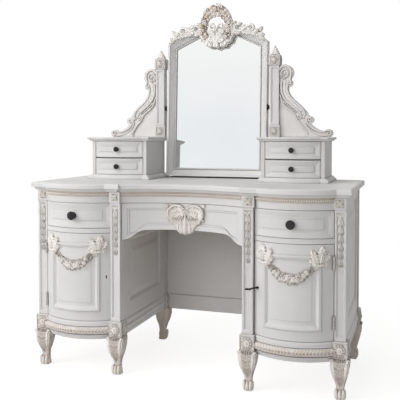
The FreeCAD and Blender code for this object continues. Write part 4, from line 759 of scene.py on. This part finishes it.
# Two dished shell scrolls and a leaf plume on the centre drawer
RIM_PETAL = dict(rise=4.6, full=0.6, rib=0.5, sink=8, rows=6, columns=4)
DISH_FLUTE = dict(width=9, rise=1.6, full=0.5, curl=2, rib=0.5, sink=7, rows=8)
PLUME_STRAND = dict(rise=4.6, full=0.7, curl=2, scallops=3, rib=0.4, sink=11, rows=12)
PLUME_RIDGE = dict(length=91, width=15, rise=5, full=0.6, curl=2, rib=-0.3, sink=12, rows=12)
PALMETTE = dict(length=26, width=13, rise=5, full=0.6, rib=0.5, sink=12)


def shell_dish(bm, place, wide, tall):
    # Raised rim that steps down to a dished field.
    small = bmesh.new()
    bmesh.ops.create_circle(small, cap_ends=True, segments=28, radius=1, matrix=stretch(wide, tall))
    field = raised_front(small, 13)
    for inward, lift in ((2.5, 1.2), (3.5, -1.2), (5, -2.6), (6, -1.6), (6, -0.6)):
        step_in(small, field, inward, lift)
    bmesh.ops.transform(small, matrix=place, verts=small.verts)
    join(bm, small)


def scroll_cartouche():
    bm = bmesh.new()
    shell_dish(bm, shift(41, 658, -6, -18), 32, 35)
    rim = [(9, 674), (12, 685), (28, 693), (54, 691), (74, 676), (77, 654), (69, 635), (56, 628)]
    sweep(bm, shift(0, 0, 6), rim, [3, 3.4, 4, 4.4, 4.6, 4.4, 4, 3], 1.2)
    for number in range(13):
        x, y, slope = along_line(rim, 0.16 + 0.8 * number / 12)
        leaf(bm, shift(x, y, 3.5, slope - 12) @ shift(0, -11), 16, 8.6, **RIM_PETAL)
    for angle, length in ((-8, 26), (-34, 33), (-58, 36), (-82, 32), (-108, 25)):
        leaf(bm, shift(22, 642, 2.4, angle), length, **DISH_FLUTE)
    for x, y in ((9, 675), (21, 641)):
        ring(bm, shift(x, y, 7), 5.4, 3, 1.1, 16)
    leaves(bm, shift(0, 0), (
        (9, 655, 5, 178, 80, 16), (20, 649, 6, 179, 72, 16), (32, 645, 5, 175, 63, 15),
        (44, 643, 4, 166, 50, 13), (55, 641, 4, 157, 36, 12), (65, 638, 4, 150, 24, 12),
        (66, 643, 3, -140, 17, 11), (69, 683, 3, -52, 20, 13)), **PLUME_STRAND)
    mirrored(bm)
    leaf(bm, shift(0, 664, 7, 180), **PLUME_RIDGE)
    for angle in (-34, 0, 34):
        leaf(bm, shift(0, 650, 6, angle), **PALMETTE)
    bead(bm, shift(0, 656, 12), 4)
    onto_hollow(bm)
    carving("scroll_cartouche", bm, flower_paint, "centre_drawer", "centre_cartouche")


# Wreath, leaf fan and leafy arms over the mirror
LEAN_BACK = shift(0, POST_Y, PIVOT_Z) @ turn(-MIRROR_LEAN, "X") @ shift(0, -POST_Y, -PIVOT_Z)
CREST_Y, WREATH_Z, WREATH_COUNT = 234, 1499, 27
CREST = LEAN_BACK @ facing(0, CREST_Y, WREATH_Z)
ARCH = [(-46, -74), (-58, -46), (-61, -16), (-49, 14), (-28, 36), (0, 49),
        (28, 36), (49, 14), (61, -16), (58, -46), (46, -74)]
ARCH_RADII = [16, 17, 17, 18, 21, 22, 21, 18, 17, 17, 16]
WREATH_LEAF = dict(rise=5, full=0.45, scallops=2, rib=0.5, sink=4, rows=6, columns=4)
WREATH_BACK = dict(rise=5, full=0.5, curl=-2, scallops=2, rib=0.5, sink=4)
FAN_BACK = 25
FAN_LEAF = dict(scallops=2, rib=0.6, columns=8)
FAN_MIDDLE = dict(length=87, width=30, rise=8, full=0.78, curl=2, scallops=2, rib=0.5, rows=12, columns=8)
ARM_LEAF = dict(rise=7, full=0.5, curl=2, scallops=3, rib=0.5, sink=11, rows=11)


def flower_wreath():
    bm = bmesh.new()
    sweep(bm, CREST, ARCH, ARCH_RADII, 0.62)
    for number in range(WREATH_COUNT):
        share = number / (WREATH_COUNT - 1)
        x, y, slope = along_line(ARCH, share)
        thick = 21 + 11 * max(0, 1 - abs(share - 0.5) / 0.25)
        spot = CREST @ shift(x, y, 0, slope)
        for tilt in (-42, 2, 44):
            leaf(bm, spot @ shift(0, 0.36 * thick, 3, tilt + vary(-14, 14)),
                 thick * vary(0.56, 0.7), thick * 0.36, curl=-2, **WREATH_LEAF)
            leaf(bm, spot @ shift(0, -0.3 * thick, 5, 180 + tilt + vary(-14, 14)),
                 thick * vary(0.5, 0.66), thick * 0.34, curl=-3, **WREATH_LEAF)
        for lift in (-0.5, 0.05, 0.58):
            seat = spot @ shift(vary(-5, 5), lift * thick + vary(-2, 2), 11 - 6 * abs(lift))
            size = thick * vary(0.32, 0.46)
            kind = chance.random()
            if kind < 0.36:
                blossom(bm, seat @ turn(vary(0, 70)), size, 5, 6, 0.34)
            elif kind < 0.7:
                daisy(bm, seat @ turn(vary(0, 50)), size, 7, 5.5)
            else:
                rose(bm, seat @ turn(vary(0, 70)), size * 1.15, 8)
        berry(bm, spot @ shift(4, thick * 0.8, 5), 3.8)
        berry(bm, spot @ shift(-4, -thick * 0.72, 6), 3.4)
        behind = spot @ turn(180, "Y") @ shift(0, -0.5 * thick, 9, vary(-30, 30))
        leaf(bm, behind, thick, thick * 0.7, **WREATH_BACK)
    carving("flower_wreath", bm, wreath_paint, "mirror", "mirror_crest")


def leaf_fan(bm):
    # Rounded shell leaves in three tiers that spread down over the frame and the glass.
    for angle, length, out in ((80, 82, -6), (104, 86, -3), (128, 86, 0), (153, 86, 3)):
        leaf(bm, CREST @ shift(2, -42, out, -angle), length, 40, 10, full=0.8, curl=2,
             sink=FAN_BACK + out, rows=12, **FAN_LEAF)
    for angle, length, out in ((92, 62, 1), (122, 66, 4), (154, 67, 8)):
        leaf(bm, CREST @ shift(1, -43, out, -angle), length, 32, 8, full=0.8, curl=3,
             sink=11, rows=10, **FAN_LEAF)
    for angle, length in ((108, 40), (148, 43)):
        leaf(bm, CREST @ shift(1, -45, 12, -angle), length, 24, 7, full=0.78, curl=2,
             sink=11, rows=9, **FAN_LEAF)
    ring(bm, CREST @ shift(18, -31, 8, -20) @ stretch(0.85, 1.15), 12.5, 6, 1.1)
    ring(bm, CREST @ shift(42, -38, 7), 9.5, 5, 1.1, 18)


def leafy_arm(bm):
    # Leaf strands and a ribbon curl that run from the wreath to the corner of the frame.
    leaves(bm, CREST, (
        (50, -42, 5, -94, 66, 22), (54, -50, 3, -100, 66, 22), (58, -34, 3, -84, 56, 18),
        (70, -26, 1, -52, 30, 16), (86, -26, 1, -76, 36, 17), (92, -44, 4, -97, 56, 22),
        (112, -40, 2, -66, 30, 16), (110, -52, 3, -103, 56, 22), (142, -56, 3, -107, 56, 22),
        (150, -54, 1, -86, 44, 20), (180, -66, 4, -114, 46, 20), (184, -58, 1, -72, 34, 17),
        (192, -60, 2, -50, 32, 15), (192, -70, 2, -98, 34, 17), (204, -84, 4, -122, 28, 15)), **ARM_LEAF)
    curl = [(108, -58), (122, -50), (138, -37)] + volute(163, -44, 19, 152, 1.25, -1, 9)
    sweep(bm, CREST @ shift(0, 0, 6), curl, falling(len(curl), 8, 6), 1.1)
    daisy(bm, CREST @ shift(163, -44, 8), 11, 6, 5)
    daisy(bm, CREST @ shift(98, -36, 11), 9, 7, 5)
    blossom(bm, CREST @ shift(188, -58, 9), 10, 5, 5, 0.36)


def flower_crest():
    bm = bmesh.new()
    leafy_arm(bm)
    leaf_fan(bm)
    mirrored(bm)
    leaf(bm, CREST @ shift(0, -40, 8, 180), sink=FAN_BACK + 8, **FAN_MIDDLE)
    rose(bm, CREST @ shift(0, -46, 15), 12, 8)
    carving("flower_crest", bm, husk_paint, "mirror", "mirror_crest")


# Leafy buds on the mirror posts
BUD_LEAF = dict(rise=5, full=0.34, curl=-1, scallops=3, rib=0.5, sink=5, rows=10)
TIP_LEAF = dict(length=26, width=13, rise=4, curl=-1, scallops=2, rib=0.5, sink=4)


def leafy_finials():
    bm = bmesh.new()
    core = shift(POST_X, POST_Y, POST_TOP + 14)
    bmesh.ops.create_cone(bm, cap_ends=True, segments=12, radius1=17, radius2=3, depth=28, matrix=core)
    for number in range(8):
        way = shift(POST_X, POST_Y, POST_TOP, 45 * number)
        corner = number % 2
        stand = way @ shift(0, -19 - 3 * corner, 0) @ UPRIGHT @ turn(-27 - 6 * corner, "X")
        leaf(bm, stand, 44 - 16 * corner, 22 - 3 * corner, **BUD_LEAF)
    for number in range(4):
        way = core @ turn(45 + 90 * number)
        leaf(bm, way @ shift(0, -11, 0) @ UPRIGHT @ turn(-21, "X"), **TIP_LEAF)
    bead(bm, shift(POST_X, POST_Y, POST_TOP + 37), 4.2, 1.3)
    mirrored(bm)
    carving("leafy_finials", bm, ivory_paint, "carcass", "post_finials")


# Raised scrolls on both faces of the mirror brackets
BRACKET_LEAF = dict(rise=5, full=0.5, curl=0.5, scallops=2, rib=0.5, sink=1, rows=8)
BRACKET_BELL = dict(rise=3.6, full=0.5, rib=0.4, sink=1, rows=5, columns=4)


def raised_scrolls():
    bm = bmesh.new()
    face = facing(0, POST_Y - 9, 0)
    rims = face @ shift(0, 0, 1.5)
    crown = [(294, 1262), (300, 1279), (317, 1285), (338, 1277), (348, 1256), (344, 1234)]
    crown += volute(337, 1208, 11, 75, 1.15, -1)
    inner = [(296, 1240), (303, 1262), (319, 1268), (333, 1258), (334, 1240), (322, 1230)]
    inner += volute(318, 1243, 10, -70, 1, 1)
    outer = [(331, 1199), (326, 1180), (333, 1153), (360, 1124), (386, 1104),
             (408, 1078), (411, 1060), (400, 1050)]
    inside = [(304, 1214), (300, 1176), (309, 1147), (335, 1117), (361, 1095), (383, 1080)]
    inside += volute(382, 1057, 12.5, 50, 1.3, -1)
    border = [(296, 1158), (305, 1120), (324, 1096), (352, 1080), (366, 1062),
              (370, 1044), (388, 1030), (404, 1006), (424, 978)]
    foot = [(408, 1036), (415, 1010), (440, 989), (470, 977), (500, 971)]
    for line, first, last, flat in ((crown, 6.4, 3.4, 1), (inner, 4.2, 2.6, 1.1), (outer, 6, 5.4, 1),
                                    (inside, 5.4, 3.2, 1), (border, 3.8, 3.8, 1), (foot, 4, 3.2, 1)):
        sweep(bm, rims, line, falling(len(line), first, last), flat)
    band = [(318, 1222), (313, 1180), (321, 1150), (348, 1120), (373, 1099), (394, 1080)]
    sweep(bm, face, band, [6, 9, 10, 10.5, 10, 6], 0.3)
    lower = volute(428, 1043, 14, 200, 1.2, -1)
    lower.reverse()
    lower += [(420, 1022), (444, 1003), (472, 990), (498, 990)]
    lower += volute(512, 984, 15, 140, 1.35, -1)
    sweep(bm, rims, lower, [3.6] * 6 + falling(len(lower) - 6, 5.6, 3.4), 1)
    leaves(bm, face, (
        (300, 1226, 0, -18, 26, 12), (310, 1222, 0, -40, 22, 10), (404, 1066, 0, -140, 38, 18),
        (400, 1054, 0, -108, 26, 14), (410, 1048, 0, -160, 26, 13)), **BRACKET_LEAF)
    for number in range(9):
        size = 4.4 - 0.22 * number
        spot = shift(303 + 7.6 * number, 1134 - 6.6 * number, -0.5, 218)
        leaf(bm, face @ spot, 13, 2 * size, **BRACKET_BELL)
    mirrored(bm, "Y", shift(0, -POST_Y, 0))
    mirrored(bm)
    carving("raised_scrolls", bm, scroll_paint, "carcass")


# Acanthus on the knees and lobed toes of the legs
# Each row: height, half width, setback of the front, lift of the leaves
LEG_SHAPE = ((0, 16.2, 16.8, -6), (21.6, 14.6, 18.5, -6), (43, 14.8, 16.8, -5),
             (69, 19, 8.4, -3.6), (95.5, 25.2, -1.7, -3.2), (120, 29.1, -6.2, -2.2),
             (140, 26.9, -2.8, 2), (154, 25.8, 1.7, 5), (170, 25.8, 1.7, 5))
HALF_WIDTH, SETBACK, LIFT = 1, 2, 3
LONG_STRAND = dict(width=8.2, rise=4.6, full=0.45, scallops=7, rib=-0.3, sink=6, rows=22, columns=4)
SHORT_STRAND = dict(width=9.4, rise=4.4, full=0.6, curl=1.4, scallops=3, rib=0.6, sink=5, rows=14)
KNEE_LEAF = dict(length=84, width=21, rise=5, full=0.35, scallops=6, rib=0.6, sink=9, rows=24, notch=0.14)
KNEE_ROUND, DIAGONAL = 0.0022, 0.707


def leg_at(z, column):
    for first, second in zip(LEG_SHAPE, LEG_SHAPE[1:]):
        if z <= second[0]:
            share = max(0, (z - first[0]) / (second[0] - first[0]))
            return first[column] + (second[column] - first[column]) * share
    return LEG_SHAPE[-1][column]


def knee_strands():
    strands = bmesh.new()
    for number in range(-3, 4):
        x = 7.4 * number
        leaf(strands, shift(x, 155, 0, 180 - 0.22 * x), 112 - 7 * abs(number), **LONG_STRAND)
    for number in range(-2, 3):
        x = 10.4 * number
        leaf(strands, shift(x, 154, 2.2, 180 - 0.6 * x), 46 - 6 * abs(number), **SHORT_STRAND)
    return strands


def leg_carving():
    # One leg with the front of its block at the origin; the leaves follow the knee on three faces.
    whole = bmesh.new()
    for side in (0, 1, -1):
        strands = knee_strands()
        for vert in strands.verts:
            x, y, z = vert.co
            half = leg_at(y, HALF_WIDTH)
            out = z + leg_at(y, LIFT) - KNEE_ROUND * x * x
            run = x * min(1, half / 25)
            vert.co = (side * (half + out), 27 + run, y) if side else (run, leg_at(y, SETBACK) - out, y)
        join(whole, strands)
    for side in BOTH:
        corner = bmesh.new()
        leaf(corner, shift(0, 155, 1, 180), **KNEE_LEAF)
        for vert in corner.verts:
            x, y, z = vert.co
            out = (z + leg_at(y, LIFT) - 0.02 * x * x - 2) * DIAGONAL
            across = DIAGONAL * x
            vert.co = (side * (leg_at(y, HALF_WIDTH) + out + across), leg_at(y, SETBACK) - out + across, y)
        join(whole, corner)
        ring(whole, shift(side * 31, -2, 148, 45 * side) @ UPRIGHT, 4.6, 3, 1.6, 16)
        lobe(whole, shift(side * 12, 9, 21) @ turn(side * 6, "Y"), 7.4, 10.4, 20)
        lobe(whole, shift(side * 16.5, 22, 20), 6, 12, 19)
    lobe(whole, shift(0, 6, 20), 6.8, 10.4, 19)
    return whole


def leg_leaves(name, places, finish):
    bm = bmesh.new()
    for place in places:
        one = leg_carving()
        bmesh.ops.transform(one, matrix=place, verts=one.verts)
        join(bm, one)
    mirrored(bm)
    carving(name, bm, finish, "carcass")


# Laurel bound round the bowed base mouldings
LAUREL_PAIRS, LAUREL_PITCH = 13, 11.4
LAUREL_LEAF = dict(length=24, width=10, rise=3.6, full=0.5, curl=0.5, rib=0.5, sink=2, rows=6, columns=4)


def base_laurel():
    bm = bmesh.new()
    for centre in (-PED_X, PED_X):
        band = bmesh.new()
        for side in BOTH:
            for number in range(LAUREL_PAIRS):
                x = side * (1 + LAUREL_PITCH * number)
                for edge in BOTH:
                    angle = -side * (90 - 40 * edge)
                    leaf(band, shift(x, BAND_Z - edge * 2, 0, angle), **LAUREL_LEAF)
                berry(band, shift(x + side * 7, BAND_Z, 3), 2.8, 0.9)
        for vert in band.verts:
            round_out = math.sqrt(max(1, BAND_ROUND ** 2 - (vert.co.y - BAND_Z) ** 2))
            vert.co.z = vert.co.z - 3.4 + round_out
        onto_bow(band, centre)
        join(bm, band)
    carving("base_laurel", bm, band_paint, "carcass")


# Raised fields on the bowed drawers, and a black strip that puts painted shadow into the gap under the mirror
def drawer_field(body, node, centre, radius, depth, inset):
    low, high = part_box(node)
    wide = (high[0] - low[0]) / MM / 2 - inset
    tall = (high[2] - low[2]) / MM / 2 - inset
    middle = (high[2] + low[2]) / MM / 2
    bm = bmesh.new()
    bmesh.ops.create_grid(bm, x_segments=24, y_segments=1, size=1,
                          matrix=shift(0, middle, -6) @ stretch(wide, tall))
    step_in(bm, raised_front(bm, 2.2), 2.6, 1)
    onto_bow(bm, centre, radius, depth)
    piece(body + "_field", bm, grey_paint, "painted_wood", body, sharp=20)


def mirror_strip():
    # Painted shadow: a black strip lying in the gap under the mirror.
    bm = bmesh.new()
    place = shift(0, 262, TABLE_TOP + 2) @ stretch(456, 44, 4)
    bmesh.ops.create_cube(bm, size=1, matrix=place)
    bmesh.ops.bevel(bm, geom=bm.edges[:], offset=1.2, affect="EDGES", segments=2, profile=0.5, material=-1)
    piece("mirror_shadow_strip", bm, shadow_black, "painted_wood", "carcass")


for hand, way in (("left", -1), ("right", 1)):
    drawer_field(hand + "_drawer", hand + "_drawer_front", way * PED_X, BOW_RADIUS, BOW_Y, 31)
    for level in ("_lower", "_upper"):
        drawer = hand + level + "_casket_drawer"
        drawer_field(drawer, drawer, way * CASKET_X, CASKET_RADIUS, CASKET_Y, 24)
mirror_strip()
pearl_rows()
block_flowers()
hanging_husks()
flower_swag("left_flower_swag", -PED_X, "left_door", "left_door_garland")
flower_swag("right_flower_swag", PED_X, "right_door", "right_door_garland")
scroll_cartouche()
flower_wreath()
flower_crest()
leafy_finials()
raised_scrolls()
leg_leaves("front_leg_leaves", (shift(INNER_X, FRONT - BLOCK_PROUD),
                                shift(OUTER_X, FRONT + OUTER_SETBACK - BLOCK_PROUD)), leaf_paint)
leg_leaves("back_leg_leaves", [shift(x, BACK + BLOCK_PROUD, 0, 180) for x in (INNER_X, OUTER_X)],
           back_leaf_paint)
base_laurel()


# Room: pale floor, white surround, soft light from the left
def seen_directly(tree):
    # White where the eye meets it, straight on or in glass and metal, and not as light thrown on the paint.
    path = add(tree, "ShaderNodeLightPath").outputs
    shiny = math_node(tree, "MAXIMUM", path["Is Glossy Ray"], path["Is Transmission Ray"])
    seen = math_node(tree, "MAXIMUM", path["Is Camera Ray"], shiny)
    return math_node(tree, "MULTIPLY", seen, math_node(tree, "LESS_THAN", path["Diffuse Depth"], 0.5))


def blend(tree, factor, first, second):
    node = add(tree, "ShaderNodeMixShader")
    for socket, value in zip(node.inputs, (factor, first.outputs[0], second.outputs[0])):
        link(tree, value, socket)
    return node


def make_floor():
    bm = bmesh.new()
    bmesh.ops.create_grid(bm, x_segments=1, y_segments=1, size=30.0)
    mesh = bpy.data.meshes.new("floor")
    bm.to_mesh(mesh)
    bm.free()
    floor = bpy.data.objects.new("floor", mesh)
    scene.collection.objects.link(floor)
    material = bpy.data.materials.new("pale_floor")
    material.use_nodes = True
    tree = material.node_tree
    tree.nodes.clear()
    out = add(tree, "ShaderNodeOutputMaterial")
    plain = fill(add(tree, "ShaderNodeBsdfDiffuse"), Color=(0.80, 0.79, 0.78, 1.0))
    shaded = fill(add(tree, "ShaderNodeBsdfDiffuse"), Color=(0.34, 0.335, 0.33, 1.0))
    glow = fill(add(tree, "ShaderNodeEmission"), Strength=0.84)
    near = add(tree, "ShaderNodeAddShader")
    link(tree, shaded.outputs[0], near.inputs[0])
    link(tree, glow.outputs[0], near.inputs[1])
    away = add(tree, "ShaderNodeVectorMath", operation="LENGTH")
    link(tree, object_place(tree), away.inputs[0])
    far = spread(tree, away.outputs["Value"], 0.75, 1.5)
    shown = blend(tree, far, near, add(tree, "ShaderNodeEmission"))
    link(tree, blend(tree, seen_directly(tree), plain, shown).outputs[0], out.inputs["Surface"])
    mesh.materials.append(material)


def make_world():
    world = bpy.data.worlds.new("white_room")
    scene.world = world
    world.use_nodes = True
    tree = world.node_tree
    tree.nodes.clear()
    out = add(tree, "ShaderNodeOutputWorld")
    light = fill(add(tree, "ShaderNodeBackground"), Color=(1.0, 0.995, 0.99, 1.0), Strength=0.16)
    white = fill(add(tree, "ShaderNodeBackground"), Color=(1.0, 1.0, 1.0, 1.0), Strength=1.0)
    link(tree, blend(tree, seen_directly(tree), light, white).outputs[0], out.inputs["Surface"])


def soft_lamp(name, place, target, size, power, colour=(1.0, 1.0, 1.0)):
    lamp = bpy.data.lights.new(name, "AREA")
    lamp.shape = "SQUARE"
    lamp.size = size
    lamp.energy = power
    lamp.color = colour
    holder = bpy.data.objects.new(name, lamp)
    holder.location = place
    holder.rotation_euler = (Vector(target) - Vector(place)).to_track_quat("-Z", "Y").to_euler()
    holder.visible_glossy = False
    scene.collection.objects.link(holder)


def make_camera():
    lens = bpy.data.cameras.new("photo_camera")
    lens.sensor_width = 36.0
    lens.sensor_height = 36.0
    lens.lens = 60.08
    lens.shift_y = -0.11
    lens.clip_end = 100.0
    holder = bpy.data.objects.new("photo_camera", lens)
    holder.location = (0.898, -2.688, 0.968)
    holder.rotation_euler = (math.radians(90.0 - 1.66), 0.0, math.radians(18.41))
    scene.collection.objects.link(holder)
    scene.camera = holder


make_floor()
make_world()
soft_lamp("left_window", (-3.0, -2.6, 2.6), (0.0, 0.0, 0.6), 2.2, 82.0, (1.0, 0.995, 0.985))
soft_lamp("front_window", (-0.9, -4.2, 1.9), (0.0, 0.0, 0.7), 2.4, 54.0)
soft_lamp("overhead", (-0.6, -0.8, 4.2), (0.0, 0.0, 0.8), 2.6, 40.0)
soft_lamp("right_fill", (3.4, -1.6, 1.6), (0.3, 0.0, 0.6), 2.6, 9.0, (1.0, 0.985, 0.97))
soft_lamp("back_window", (0.2, 3.8, 2.4), (0.0, 0.2, 0.7), 2.6, 30.0)
make_camera()
